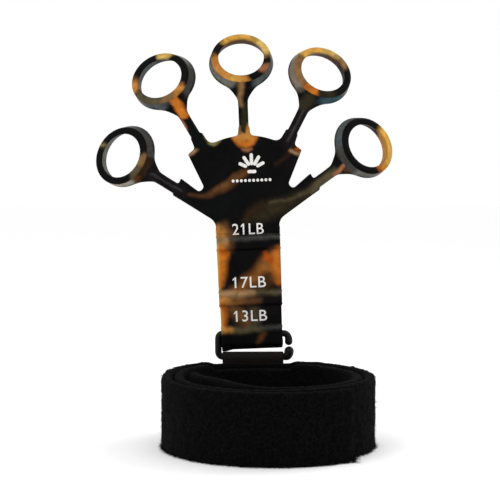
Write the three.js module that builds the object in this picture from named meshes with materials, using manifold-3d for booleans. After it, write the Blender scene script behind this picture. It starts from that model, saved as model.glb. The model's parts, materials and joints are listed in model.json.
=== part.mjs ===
// Finger exerciser: a silicone hand with five finger rings, held by an open hook buckle
// to a hook-and-loop wrist strap that stands on its edge as a wound ring.
// Millimetres, +Z up. X runs across the hand and -Y is the side that the print faces.
// The origin is under the middle of the whole object, on the surface it stands on.
import * as THREE from "three";
import { mergeVertices } from "three/addons/utils/BufferGeometryUtils.js";
import Module from "manifold-3d";

const wasm = await Module();
wasm.setup();

// ---------- driving dimensions ----------

// Wrist strap: a thick loop-faced strip wound outwards as a spiral, counted in turns.
const STRAP_CENTRE = new THREE.Vector2(11.8, -5.9);
const STRAP_WIDTH = 34;
const STRAP_THICKNESS = 5;
const STRAP_WIDENING = 1.04;
const STRAP_START_RADIUS = 37.4;
const STRAP_PITCH = 5.6;
const STRAP_START_ANGLE = THREE.MathUtils.degToRad(215);
const STRAP_HINGE_TURN = 2.197;
const STRAP_END_TURN = 2.286;
const STRAP_BACK_FLATTENING = 5.5;
const FLAT_BLEND = 1.2;
const FIRST_BACK_TURN = (90 - 215 + 360) / 360;
const STRAP_STEPS_PER_TURN = 44;
const FLAP_INNER_OFFSET = -1.6;
const PATCH_INNER_OFFSET = -2.8;
const PATCH_THICKNESS = 0.9;
const PATCH_TURNS = [2.213, 2.281];
const PATCH_MARGIN = 3;

// Buckle: a round rod bent to an open C that hooks into the band from the left.
const ROD_RADIUS = 1.6;
const LOWER_BAR_HEIGHT = 37.05;
const BAR_SPACING = 11.9;
const UPRIGHT_X = -17;
const ROD_CORNER_RADIUS = 3;
const ROD_RIGHT_X = 19.4;
const HOOK_TIP_DROP = 3.9;
const LIP_RISE = 2.6;

// Webbing tab: folded over the lower bar, both plies sewn to the strap's outer back face.
const TAB_LEFT_X = -14.2;
const TAB_RIGHT_X = 16;
const TAB_LOOP_INNER_RADIUS = 1.9;
const TAB_LOOP_OUTER_RADIUS = 2.75;
const TAB_LEG_THICKNESS = 2.2;
const TAB_LEG_BOTTOM = 9;
const BARTACK = { length: 25, height: 1.5, thickness: 0.5, levels: [12.5, 28] };

// Silicone hand. Heights along the hand are counted from the axis of the upper bar.
const HAND_X = 3.4;
const HAND_LEAN = THREE.MathUtils.degToRad(2.2);
const BAND_THICKNESS = 3;
const TUNNEL_DEPTH = 6.2;
const TUNNEL_SHOULDER = 1;
const SLOT_DEPTH = 3.8;
const SLOT_HEIGHT = 5.2;
const BAND_PIECES = [
  { name: "band_13lb", width: 30, bottom: -6.3, tunnelTop: 3.9, slotMiddle: -0.2, top: 13.9 },
  { name: "band_17lb", width: 31.2, bottom: 14.2, tunnelTop: 21.8, slotMiddle: 18, top: 42.1 },
  { name: "band_21lb", width: 31.6, bottom: 42.4, tunnelTop: 50, slotMiddle: 46.2, top: 51.5 },
];
const PALM_BOTTOM = 51.8;
const PALM_THICKNESS = 4;

// Fingers: direction from the hand's own vertical, root of the arm, length from root to ring.
const ARM_THICKNESS = 4.4;
const ARM_FRONT_BEVEL = 0.8;
const FINGERS = [
  { name: "outer_left", angle: -56, ringX: -61.1, ringZ: 92.1, reach: 30.6, width: 5.4 },
  { name: "inner_left", angle: -29, ringX: -40.1, ringZ: 129.5, reach: 35.5, width: 5 },
  { name: "middle", angle: 0, ringX: 0, ringZ: 138, reach: 36.7, width: 4.8 },
  { name: "inner_right", angle: 29, ringX: 40.1, ringZ: 129.5, reach: 35.5, width: 5 },
  { name: "outer_right", angle: 56, ringX: 61.1, ringZ: 92.1, reach: 30.6, width: 5.4 },
];
const GUSSET_START = 21.3;
const GUSSET_SPREAD = 14;
const GUSSET_HALF_WIDTH = 8;
const GUSSET_THICKNESS = 2.7;

// Finger ring: a short flared tube, tipped back from the hand's plane.
const RING_TILT = THREE.MathUtils.degToRad(35);
const RING_LENGTH = 5.4;
const RING_SET_BACK = 7.5;
const RING_FRONT_OUTER = 14.9;
const RING_BACK_OUTER = 16.5;
const RING_FRONT_INNER = 11.15;
const RING_BACK_INNER = 12.7;
const RING_EDGE = 0.7;
const RING_SEGMENTS = 36;

const GAP = 0.3;

// ---------- derived places ----------

const STRAP_BACK_RADIUS = strapRadius(FIRST_BACK_TURN + 1) + STRAP_THICKNESS / 2;
const STRAP_BACK_FACE = STRAP_CENTRE.y + STRAP_BACK_RADIUS - STRAP_BACK_FLATTENING;
const HAND_Y = STRAP_BACK_FACE + GAP + TAB_LEG_THICKNESS / 2;
const UPPER_BAR_HEIGHT = LOWER_BAR_HEIGHT + BAR_SPACING;

// ---------- materials ----------

function material(color, roughness) {
  return new THREE.MeshStandardMaterial({ color, roughness, metalness: 0 });
}

const silicone = () => material(0x1c1a18, 0.42);
const orangeSilicone = () => material(0xb4691c, 0.42);
const loopFabric = () => material(0x0b0b0c, 0.95);
const hookTape = () => material(0x141416, 0.8);
const webbing = () => material(0x101012, 0.85);
const thread = () => material(0x1a1a1c, 0.7);
const blackPlastic = () => material(0x0d0d0e, 0.35);

// ---------- solids and booleans ----------

function toSolid(geometry) {
  const flat = geometry.index ? geometry.toNonIndexed() : geometry;
  const bare = new THREE.BufferGeometry();
  bare.setAttribute("position", flat.getAttribute("position"));
  const merged = mergeVertices(bare, 1e-4);
  const mesh = new wasm.Mesh({
    numProp: 3,
    vertProperties: new Float32Array(merged.attributes.position.array),
    triVerts: new Uint32Array(merged.index.array),
  });
  return new wasm.Manifold(mesh);
}

function toGeometry(solid) {
  const mesh = solid.getMesh();
  const geometry = new THREE.BufferGeometry();
  geometry.setAttribute("position", new THREE.BufferAttribute(mesh.vertProperties, 3));
  geometry.setIndex(new THREE.BufferAttribute(mesh.triVerts, 1));
  geometry.computeVertexNormals();
  return geometry;
}

function named(name, geometry, look) {
  const mesh = new THREE.Mesh(geometry, look);
  mesh.name = name;
  return mesh;
}

// A prism of a shape drawn across (first axis) and up (second axis), centred in depth on y.
function frontPrism(shape, thickness, y = 0) {
  const options = { depth: thickness, bevelEnabled: false, curveSegments: 5 };
  const geometry = new THREE.ExtrudeGeometry(shape, options);
  geometry.rotateX(Math.PI / 2);
  geometry.translate(0, y + thickness / 2, 0);
  return geometry;
}

// A prism of a side profile drawn in depth (first axis) and up (second axis), from x to x + width.
function sidePrism(shape, x, width) {
  const options = { depth: width, bevelEnabled: false, curveSegments: 8 };
  const geometry = new THREE.ExtrudeGeometry(shape, options);
  const turn = new THREE.Matrix4().makeBasis(
    new THREE.Vector3(0, 1, 0),
    new THREE.Vector3(0, 0, 1),
    new THREE.Vector3(1, 0, 0),
  );
  geometry.applyMatrix4(turn);
  geometry.translate(x, 0, 0);
  return geometry;
}

// A closed outline through [across, up, corner cut] points, each corner rounded by its cut.
function roundedShape(corners) {
  const points = corners.map(([x, y]) => new THREE.Vector2(x, y));
  const shape = new THREE.Shape();
  points.forEach((corner, i) => {
    const before = points[(i + points.length - 1) % points.length];
    const after = points[(i + 1) % points.length];
    const cut = corners[i][2] ?? 0;
    const arrive = corner.clone().add(before.clone().sub(corner).setLength(cut));
    const leave = corner.clone().add(after.clone().sub(corner).setLength(cut));
    if (i === 0) shape.moveTo(arrive.x, arrive.y);
    else shape.lineTo(arrive.x, arrive.y);
    if (cut > 0) shape.quadraticCurveTo(corner.x, corner.y, leave.x, leave.y);
  });
  shape.closePath();
  return shape;
}

// ---------- wrist strap ----------

function strapRadius(turn) {
  return STRAP_START_RADIUS + STRAP_PITCH * turn;
}

// A point on the wound strip: offset is counted outwards from the middle of its thickness.
// The wall that carries the tab is pressed flat, so there the radius meets a straight line.
// The whole coil is a little wider than it is deep.
function strapPoint(turn, offset) {
  const angle = STRAP_START_ANGLE + turn * 2 * Math.PI;
  const round = strapRadius(turn) + offset;
  const towardsBack = Math.sin(angle);
  let radius = round;
  if (towardsBack > 0.5) {
    const backTurn = Math.round(turn - FIRST_BACK_TURN) + FIRST_BACK_TURN;
    const flat = (strapRadius(backTurn) + offset - STRAP_BACK_FLATTENING) / towardsBack;
    const nearness = Math.exp(-round / FLAT_BLEND) + Math.exp(-flat / FLAT_BLEND);
    radius = -Math.log(nearness) * FLAT_BLEND;
  }
  return new THREE.Vector2(
    STRAP_CENTRE.x + radius * Math.cos(angle) * STRAP_WIDENING,
    STRAP_CENTRE.y + radius * Math.sin(angle),
  );
}

// A length of the wound strip, from one turn to another, as a solid standing on its edge.
function woundStrip(fromTurn, toTurn, innerOffset, outerOffset, bottom, height) {
  const steps = Math.max(3, Math.ceil((toTurn - fromTurn) * STRAP_STEPS_PER_TURN));
  const outer = [];
  const inner = [];
  for (let i = 0; i <= steps; i += 1) {
    const turn = fromTurn + ((toTurn - fromTurn) * i) / steps;
    outer.push(strapPoint(turn, outerOffset));
    inner.unshift(strapPoint(turn, innerOffset));
  }
  const shape = new THREE.Shape([...outer, ...inner]);
  const geometry = new THREE.ExtrudeGeometry(shape, { depth: height, bevelEnabled: false });
  geometry.translate(0, 0, bottom);
  return geometry;
}

function strapCoil() {
  const half = STRAP_THICKNESS / 2;
  const knuckle = (half - FLAP_INNER_OFFSET) / 2;
  const clearance = (knuckle + GAP) / strapRadius(STRAP_HINGE_TURN) / (2 * Math.PI);
  return woundStrip(0, STRAP_HINGE_TURN - clearance, -half, half, 0, STRAP_WIDTH);
}

// The free end peels off about an upright line, so it starts with a half-round edge there.
function strapFreeEnd() {
  const half = STRAP_THICKNESS / 2;
  const knuckle = (half - FLAP_INNER_OFFSET) / 2;
  const hinge = strapPoint(STRAP_HINGE_TURN, (half + FLAP_INNER_OFFSET) / 2);
  const edge = new THREE.CylinderGeometry(knuckle, knuckle, STRAP_WIDTH, 16);
  edge.rotateX(Math.PI / 2);
  edge.translate(hinge.x, hinge.y, STRAP_WIDTH / 2);
  const strip = woundStrip(STRAP_HINGE_TURN, STRAP_END_TURN, FLAP_INNER_OFFSET, half, 0, STRAP_WIDTH);
  return toGeometry(toSolid(strip).add(toSolid(edge)));
}

function hookPatch() {
  const [from, to] = PATCH_TURNS;
  const outer = PATCH_INNER_OFFSET + PATCH_THICKNESS;
  return woundStrip(from, to, PATCH_INNER_OFFSET, outer, PATCH_MARGIN, STRAP_WIDTH - 2 * PATCH_MARGIN);
}

// ---------- webbing tab and its stitching ----------

function webbingTab() {
  const half = TAB_LEG_THICKNESS / 2;
  const legTop = -TAB_LOOP_OUTER_RADIUS - 1.2;
  const legBottom = TAB_LEG_BOTTOM - LOWER_BAR_HEIGHT;
  const opening = THREE.MathUtils.degToRad(-50);
  const profile = new THREE.Shape();
  profile.moveTo(half, legBottom);
  profile.lineTo(half, legTop);
  profile.absarc(0, 0, TAB_LOOP_OUTER_RADIUS, opening, Math.PI - opening, false);
  profile.lineTo(-half, legTop);
  profile.lineTo(-half, legBottom);
  profile.closePath();
  const bore = new THREE.Path();
  bore.absarc(0, 0, TAB_LOOP_INNER_RADIUS, 0, 2 * Math.PI, true);
  profile.holes.push(bore);
  const geometry = sidePrism(profile, HAND_X + TAB_LEFT_X, TAB_RIGHT_X - TAB_LEFT_X);
  geometry.translate(0, HAND_Y, LOWER_BAR_HEIGHT);
  return geometry;
}

function bartack(level) {
  const middle = HAND_X + (TAB_LEFT_X + TAB_RIGHT_X) / 2;
  const back = HAND_Y + TAB_LEG_THICKNESS / 2 + GAP + BARTACK.thickness / 2;
  const geometry = new THREE.BoxGeometry(BARTACK.length, BARTACK.thickness, BARTACK.height);
  geometry.translate(middle, back, level);
  return geometry;
}

// ---------- buckle ----------

// The rod's middle line, drawn across and up from the axis of the upper bar.
function rodPath() {
  const r = ROD_CORNER_RADIUS;
  const k = Math.SQRT1_2;
  const low = -BAR_SPACING;
  const at = (x, z) => new THREE.Vector3(x, 0, z);
  const path = new THREE.CurvePath();
  const line = (a, b) => path.add(new THREE.LineCurve3(a, b));
  const bend = (a, corner, b) => path.add(new THREE.QuadraticBezierCurve3(a, corner, b));
  const lipTop = at(ROD_RIGHT_X, low + LIP_RISE + k);
  const lipFoot = at(ROD_RIGHT_X - r, low);
  bend(lipTop, at(ROD_RIGHT_X, low), lipFoot);
  line(lipFoot, at(UPRIGHT_X + r, low));
  bend(at(UPRIGHT_X + r, low), at(UPRIGHT_X, low), at(UPRIGHT_X, low + r));
  line(at(UPRIGHT_X, low + r), at(UPRIGHT_X, -r));
  bend(at(UPRIGHT_X, -r), at(UPRIGHT_X, 0), at(UPRIGHT_X + r, 0));
  line(at(UPRIGHT_X + r, 0), at(ROD_RIGHT_X - r, 0));
  bend(at(ROD_RIGHT_X - r, 0), at(ROD_RIGHT_X, 0), at(ROD_RIGHT_X - 0.2, -HOOK_TIP_DROP));
  return path;
}

function buckle() {
  const section = new THREE.Shape();
  section.absarc(0, 0, ROD_RADIUS, 0, 2 * Math.PI, false);
  const geometry = new THREE.ExtrudeGeometry(section, {
    steps: 64,
    curveSegments: 6,
    bevelEnabled: false,
    extrudePath: rodPath(),
  });
  geometry.translate(HAND_X, HAND_Y, UPPER_BAR_HEIGHT);
  return geometry;
}

// ---------- silicone band ----------

// One length of the band: its tunnel at the bottom end, then the flat strip that stretches.
function bandPiece({ width, bottom, tunnelTop, slotMiddle, top }) {
  const thin = BAND_THICKNESS / 2;
  const thick = TUNNEL_DEPTH / 2;
  const rise = TUNNEL_SHOULDER;
  const profile = new THREE.Shape([
    new THREE.Vector2(-thin, bottom),
    new THREE.Vector2(thin, bottom),
    new THREE.Vector2(thick, bottom + rise),
    new THREE.Vector2(thick, tunnelTop - rise),
    new THREE.Vector2(thin, tunnelTop),
    new THREE.Vector2(thin, top),
    new THREE.Vector2(-thin, top),
    new THREE.Vector2(-thin, tunnelTop),
    new THREE.Vector2(-thick, tunnelTop - rise),
    new THREE.Vector2(-thick, bottom + rise),
  ]);
  const deep = SLOT_DEPTH / 2;
  const low = slotMiddle - SLOT_HEIGHT / 2;
  const high = slotMiddle + SLOT_HEIGHT / 2;
  const slot = new THREE.Path([
    new THREE.Vector2(-deep, low),
    new THREE.Vector2(-deep, high),
    new THREE.Vector2(deep, high),
    new THREE.Vector2(deep, low),
  ]);
  profile.holes.push(slot);
  return sidePrism(profile, -width / 2, width);
}

// ---------- palm ----------

// The right half of the palm's outline, from the neck up to the root of the middle arm.
const PALM_OUTLINE = [
  [15.8, PALM_BOTTOM, 0],
  [16.1, 57.4, 2.5],
  [36.9, 71.5, 0],
  [32.6, 79.8, 0.4],
  [23.6, 72.5, 1.6],
  [21.2, 74.9, 1.2],
  [28.6, 91.7, 0.4],
  [25.1, 94.4, 1.2],
  [26.6, 99.2, 0],
  [21.2, 102.2, 0],
  [17.4, 96.4, 2.6],
  [9.9, 99, 2],
  [2.6, 100.2, 0.9],
  [2.4, 104, 0],
];

function palmPad() {
  const mirrored = PALM_OUTLINE.map(([x, z, cut]) => [-x, z, cut]).reverse();
  const outline = roundedShape([...PALM_OUTLINE, ...mirrored]);
  let solid = toSolid(frontPrism(outline, PALM_THICKNESS));
  // Each arm root is cut square to its arm, just clear of the arm's half-round knuckle.
  for (const finger of FINGERS) {
    const cut = new THREE.BoxGeometry(9, 12, 12);
    cut.translate(0, 0, 6 - ARM_THICKNESS / 2 - GAP);
    cut.applyMatrix4(armPlace(finger));
    solid = solid.subtract(toSolid(cut));
  }
  return toGeometry(solid);
}

// ---------- fingers ----------

// The arm's own frame in the hand: its root hinge at the origin and +Z along the arm.
function armPlace({ angle, ringX, ringZ, reach }) {
  const turn = THREE.MathUtils.degToRad(angle);
  const root = new THREE.Vector3(ringX - reach * Math.sin(turn), 0, ringZ - reach * Math.cos(turn));
  return new THREE.Matrix4().makeRotationY(turn).setPosition(root);
}

function armSplit({ reach }) {
  return (reach - GUSSET_START) / 2;
}

// A straight length of arm with its two front edges bevelled.
function armBar(width, from, to) {
  const x = width / 2;
  const y = ARM_THICKNESS / 2;
  const b = ARM_FRONT_BEVEL;
  const section = new THREE.Shape([
    new THREE.Vector2(-x, y),
    new THREE.Vector2(-x, b - y),
    new THREE.Vector2(b - x, -y),
    new THREE.Vector2(x - b, -y),
    new THREE.Vector2(x, b - y),
    new THREE.Vector2(x, y),
  ]);
  const geometry = new THREE.ExtrudeGeometry(section, { depth: to - from, bevelEnabled: false });
  geometry.translate(0, 0, from);
  return geometry;
}

function arm(finger) {
  const knuckle = new THREE.CylinderGeometry(ARM_THICKNESS / 2, ARM_THICKNESS / 2, finger.width, 20);
  knuckle.rotateZ(Math.PI / 2);
  const bar = armBar(finger.width, 0, armSplit(finger) - GAP / 2);
  return toGeometry(toSolid(bar).add(toSolid(knuckle)));
}

function lathe(profile) {
  return new THREE.LatheGeometry(profile.map(([r, y]) => new THREE.Vector2(r, y)), RING_SEGMENTS);
}

// The ring's outer form, its bore and the web that spreads from the arm to the ring.
function ring(finger) {
  const half = RING_LENGTH / 2;
  const outer = lathe([
    [0, -half],
    [RING_BACK_OUTER - RING_EDGE, -half],
    [RING_BACK_OUTER, RING_EDGE - half],
    [RING_FRONT_OUTER, half - RING_EDGE],
    [RING_FRONT_OUTER - RING_EDGE, half],
    [0, half],
  ]);
  const far = 12;
  const bore = lathe([
    [0, -far],
    [RING_BACK_INNER + RING_EDGE, -far],
    [RING_BACK_INNER + RING_EDGE, -half],
    [RING_BACK_INNER, RING_EDGE - half],
    [RING_FRONT_INNER, half - RING_EDGE],
    [RING_FRONT_INNER + RING_EDGE, half],
    [RING_FRONT_INNER + RING_EDGE, far],
    [0, far],
  ]);
  for (const turned of [outer, bore]) {
    turned.rotateX(Math.PI - RING_TILT);
    turned.translate(0, RING_SET_BACK, finger.reach);
  }
  const start = finger.reach - GUSSET_START;
  const spread = finger.reach - GUSSET_SPREAD;
  const web = new THREE.Shape([
    new THREE.Vector2(finger.width / 2, start),
    new THREE.Vector2(GUSSET_HALF_WIDTH, spread),
    new THREE.Vector2(GUSSET_HALF_WIDTH, spread + 3),
    new THREE.Vector2(-GUSSET_HALF_WIDTH, spread + 3),
    new THREE.Vector2(-GUSSET_HALF_WIDTH, spread),
    new THREE.Vector2(-finger.width / 2, start),
  ]);
  const webY = (ARM_THICKNESS - GUSSET_THICKNESS) / 2;
  const bar = armBar(finger.width, armSplit(finger) + GAP / 2, finger.reach - 10.6);
  const solid = toSolid(outer)
    .add(toSolid(bar))
    .add(toSolid(frontPrism(web, GUSSET_THICKNESS, webY)))
    .subtract(toSolid(bore));
  return toGeometry(solid);
}

// ---------- assembly ----------

const exerciser = new THREE.Group();

const strap = new THREE.Group();
strap.add(named("strap_coil", strapCoil(), loopFabric()));
strap.add(named("strap_free_end", strapFreeEnd(), loopFabric()));
strap.add(named("hook_patch", hookPatch(), hookTape()));
strap.add(named("webbing_tab", webbingTab(), webbing()));
BARTACK.levels.forEach((level, i) => {
  strap.add(named(["lower", "upper"][i] + "_bartack", bartack(level), thread()));
});
exerciser.add(strap);

exerciser.add(named("hook_buckle", buckle(), blackPlastic()));

const hand = new THREE.Group();
hand.position.set(HAND_X, HAND_Y, UPPER_BAR_HEIGHT);
hand.rotation.y = -HAND_LEAN;
for (const piece of BAND_PIECES) {
  hand.add(named(piece.name, bandPiece(piece), silicone()));
}
hand.add(named("palm_pad", palmPad(), silicone()));
for (const finger of FINGERS) {
  const place = armPlace(finger);
  hand.add(named(finger.name + "_arm", arm(finger).applyMatrix4(place), silicone()));
  hand.add(named(finger.name + "_ring", ring(finger).applyMatrix4(place), orangeSilicone()));
}
exerciser.add(hand);

export default exerciser;
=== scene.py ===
"""Finger exerciser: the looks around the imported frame. Lengths below are in millimetres."""

import json
import math
from collections import namedtuple
from contextlib import contextmanager
from functools import cache

import bmesh
import bpy
import numpy as np
from mathutils import Matrix, Vector, noise


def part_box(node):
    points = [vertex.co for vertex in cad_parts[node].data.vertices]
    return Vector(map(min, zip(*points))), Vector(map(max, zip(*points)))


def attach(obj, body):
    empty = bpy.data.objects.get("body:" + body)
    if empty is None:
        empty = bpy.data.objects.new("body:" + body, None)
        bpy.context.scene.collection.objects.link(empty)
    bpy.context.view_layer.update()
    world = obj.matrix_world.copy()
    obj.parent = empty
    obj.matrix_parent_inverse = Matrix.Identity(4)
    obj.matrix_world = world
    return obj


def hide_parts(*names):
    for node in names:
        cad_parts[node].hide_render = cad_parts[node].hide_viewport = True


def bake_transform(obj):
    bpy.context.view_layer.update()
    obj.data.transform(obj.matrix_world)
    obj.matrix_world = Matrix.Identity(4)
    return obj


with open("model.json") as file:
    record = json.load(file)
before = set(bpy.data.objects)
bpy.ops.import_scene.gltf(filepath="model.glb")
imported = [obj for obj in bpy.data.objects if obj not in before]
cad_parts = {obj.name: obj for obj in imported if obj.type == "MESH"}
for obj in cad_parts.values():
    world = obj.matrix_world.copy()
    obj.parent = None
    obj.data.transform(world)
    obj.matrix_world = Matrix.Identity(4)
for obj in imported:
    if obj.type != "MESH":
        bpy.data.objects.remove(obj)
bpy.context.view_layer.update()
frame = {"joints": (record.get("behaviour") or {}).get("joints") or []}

MM = 0.001
JOINTS = {joint["name"]: joint for joint in frame["joints"]}

# ---- sizes shared with the frame

BAND_THICKNESS = 3.0
BAND_LOWER_EDGE = -7.7
TUNNEL_DEPTH = 6.2
SLOT_DEPTH = 3.8
SLOT_HEIGHT = 5.2
# Each tunnel's bottom and top, and the middle of the slot through it.
TUNNELS = [(-6.3, 3.9, -0.2), (14.2, 21.8, 18.0), (42.4, 50.0, 46.2)]
# Where the two lengths of band that give end, and the next piece begins.
BAND_CUTS = {"band_13lb": (13.9 + 14.2) / 2, "band_17lb": (42.1 + 42.4) / 2}
PALM_THICKNESS = 4.0
# The right half of the palm's outline: across, up, and how far before each corner its rounding starts.
PALM_HALF = [
    (15.8, 51.0, 0), (16.1, 57.4, 3.2), (36.9, 71.5, 0.3), (32.6, 79.8, 0.6), (23.6, 72.5, 1.8),
    (21.2, 74.9, 1.4), (28.6, 91.7, 0.6), (25.1, 94.4, 1.4), (26.6, 99.2, 0), (21.2, 102.2, 0),
    (17.4, 96.4, 3.2), (9.9, 99.0, 2.4), (3.2, 100.2, 1.4), (2.4, 104.0, 0),
]
ARM_THICKNESS = 4.4
# angle is from the hand's vertical, x and z place the ring's centre, and reach is the arm's length up to it.
Finger = namedtuple("Finger", "name angle x z reach width")
FINGERS = [
    Finger("outer_left", -56, -61.1, 92.1, 30.6, 5.4),
    Finger("inner_left", -29, -40.1, 129.5, 35.5, 5.0),
    Finger("middle", 0, 0.0, 138.0, 36.7, 4.8),
    Finger("inner_right", 29, 40.1, 129.5, 35.5, 5.0),
    Finger("outer_right", 56, 61.1, 92.1, 30.6, 5.4),
]
GUSSET_START = 21.3
GUSSET_THICKNESS = 2.7
RING_TILT = math.radians(35)
RING_HALF = 3.0
# How far the rings' axes turn to the right, as a slope: for the left rings, the middle and the right ones.
RING_LEAN = {-1: -0.25, 0: 0.0, 1: 0.14}
RING_SET_BACK = 7.5
RING_FRONT_OUTER, RING_BACK_OUTER = 14.9, 16.5
RING_FRONT_INNER, RING_BACK_INNER = 11.15, 12.7

HAND_ORIGIN = Vector(JOINTS["band_turn_on_bar"]["pos_m"])
HAND_UP = Vector(JOINTS["upper_band_stretch"]["axis"])
HAND_BACK = Vector((0, 1, 0))
HAND_ACROSS = HAND_BACK.cross(HAND_UP)
HAND = Matrix.Identity(4)
for column, direction in enumerate((HAND_ACROSS, HAND_BACK, HAND_UP)):
    for row in range(3):
        HAND[row][column] = direction[row]
HAND.translation = HAND_ORIGIN


def hand_point(across, back, up):
    """A point of the hand's own frame, in millimetres, as metres in the row frame."""
    return HAND @ (Vector((across, back, up)) * MM)


# ---- mesh helpers

def add_object(name, data):
    """Puts new data into the scene."""
    made = bpy.data.objects.new(name, data)
    bpy.context.scene.collection.objects.link(made)
    return made


def places_of(mesh):
    places = np.empty(len(mesh.vertices) * 3)
    mesh.vertices.foreach_get("co", places)
    return places.reshape(-1, 3)


def store_vectors(mesh, name, vectors):
    attribute = mesh.attributes.new(name, "FLOAT_VECTOR", "POINT")
    attribute.data.foreach_set("vector", vectors.astype(np.float32).ravel())


def new_object(name, vertices, faces, material, smooth=True):
    mesh = bpy.data.meshes.new(name)
    mesh.from_pydata(np.asarray(vertices).tolist(), [], faces)
    mesh.update()
    mesh.polygons.foreach_set("use_smooth", [smooth] * len(mesh.polygons))
    mesh.materials.append(material)
    # The materials read where each point was at rest.
    store_vectors(mesh, "rest", places_of(mesh))
    return add_object(name, mesh)


@contextmanager
def editing(mesh):
    """Opens a mesh for editing and then writes it back."""
    bm = bmesh.new()
    bm.from_mesh(mesh)
    yield bm
    bm.to_mesh(mesh)
    bm.free()


def flatten(faces):
    """Keeps flat faces from shading as if they were round."""
    for face in faces:
        face.smooth = False
        for edge in face.edges:
            edge.smooth = False


def smooth_max(a, b, width):
    mix = np.clip(0.5 + 0.5 * (a - b) / width, 0, 1)
    return b + (a - b) * mix + width * mix * (1 - mix)


def smooth_min(a, b, width):
    return -smooth_max(-a, -b, width)


def smoothstep(low, high, value):
    t = np.clip((value - low) / (high - low), 0, 1)
    return t * t * (3 - 2 * t)


def noise_at(points, scale, seed):
    """Smooth noise from about -1 to 1 at each point; scale is the size of its features."""
    shift = Vector((seed * 17.3, seed * 5.1, seed * 9.7))
    return np.array([noise.noise(Vector(p) / scale + shift) for p in points])


# ---- the silicone hand as a distance field

def rounded_outline(corners, steps=6):
    points = np.array([(x, z) for x, z, _ in corners], float)
    outline = []
    for i, (_, _, cut) in enumerate(corners):
        corner = points[i]
        if not cut:
            outline.append(corner)
            continue
        before, after = points[i - 1] - corner, points[(i + 1) % len(points)] - corner
        arrive = corner + before / np.linalg.norm(before) * cut
        leave = corner + after / np.linalg.norm(after) * cut
        for t in np.linspace(0, 1, steps):
            outline.append((1 - t) ** 2 * arrive + 2 * t * (1 - t) * corner + t * t * leave)
    return np.array(outline)


PALM = rounded_outline(PALM_HALF + [(-x, z, cut) for x, z, cut in reversed(PALM_HALF)])


def polygon_distance(x, z, outline):
    """Signed distance in the plane to a closed outline, negative inside."""
    nearest = np.full(x.shape, 1e9)
    inside = np.zeros(x.shape, bool)
    for (ax, az), (bx, bz) in zip(outline, np.roll(outline, -1, axis=0)):
        ex, ez = bx - ax, bz - az
        t = np.clip(((x - ax) * ex + (z - az) * ez) / (ex * ex + ez * ez + 1e-12), 0, 1)
        nearest = np.minimum(nearest, (x - ax - t * ex) ** 2 + (z - az - t * ez) ** 2)
        if az != bz:
            inside ^= ((az > z) != (bz > z)) & (x < ax + (z - az) * ex / ez)
    return np.where(inside, -1, 1) * np.sqrt(nearest)


def band_distance(x, y, z):
    """The band with its three tunnels. Each tunnel is a raised rib on both faces with a slot through it."""
    width = np.interp(z, [-7, 13.5, 14.5, 42, 60], [30.8, 31.0, 31.8, 32.1, 32.1]) / 2
    # The lower edge droops at its left end.
    low, high = BAND_LOWER_EDGE - 0.8 * smoothstep(9.5, 13.5, -x), 54.0
    strip = smooth_max(np.maximum(low - z, z - high), np.abs(x) - width, 0.9)
    solid = smooth_max(strip, np.abs(y) - BAND_THICKNESS / 2, 0.7)
    for bottom, top, _ in TUNNELS:
        middle, half = (bottom + top) / 2, (top - bottom) / 2
        rib = smooth_max(np.abs(z - middle) - half + 0.3, np.abs(y) - TUNNEL_DEPTH / 2, 1.6)
        rib = smooth_max(rib, np.abs(x) - width, 0.7)
        solid = smooth_min(solid, rib, 0.9)
    for _, _, slot in TUNNELS:
        hole = np.maximum(np.abs(y) - SLOT_DEPTH / 2, np.abs(z - slot) - SLOT_HEIGHT / 2)
        solid = smooth_max(solid, -hole, 0.5)
    return solid


def finger_local(finger, x, z):
    """Across and along distances from the root of a finger's arm."""
    turn = math.radians(finger.angle)
    dx = x - (finger.x - finger.reach * math.sin(turn))
    dz = z - (finger.z - finger.reach * math.cos(turn))
    return dx * math.cos(turn) - dz * math.sin(turn), dx * math.sin(turn) + dz * math.cos(turn)


def arm_distance(finger, x, y, z):
    """The straight arm, with its two front edges bevelled, from inside the palm into the ring."""
    width, reach = finger.width, finger.reach
    side, along = finger_local(finger, x, z)
    bar = smooth_max(np.abs(side) - width / 2, np.abs(y) - ARM_THICKNESS / 2, 0.5)
    bevel = (np.abs(side) - y - width / 2 - ARM_THICKNESS / 2 + 1.1) * math.sqrt(0.5)
    bar = smooth_max(bar, bevel, 0.35)
    return smooth_max(bar, np.maximum(-4 - along, along - reach + 12.2), 0.5)


def ring_coordinates(finger, x, y, z):
    """Distance from the ring's axis, and distance along that axis towards its front."""
    side, along = finger_local(finger, x, z)
    along = along - finger.reach
    back = y - RING_SET_BACK
    front = -back * math.cos(RING_TILT) + along * math.sin(RING_TILT)
    upward = along * math.cos(RING_TILT) + back * math.sin(RING_TILT)
    side = side - RING_LEAN[np.sign(finger.angle)] * front
    return np.sqrt(side * side + upward * upward), front


def ring_distance(finger, x, y, z):
    radius, front = ring_coordinates(finger, x, y, z)
    share = front / (2 * RING_HALF) + 0.5
    outer = RING_BACK_OUTER + (RING_FRONT_OUTER - RING_BACK_OUTER) * share
    inner = RING_BACK_INNER + (RING_FRONT_INNER - RING_BACK_INNER) * share
    wall = smooth_max(radius - outer, inner - radius, 0.8) * 0.96
    return smooth_max(wall, np.abs(front) - RING_HALF, 1.0)


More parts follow.
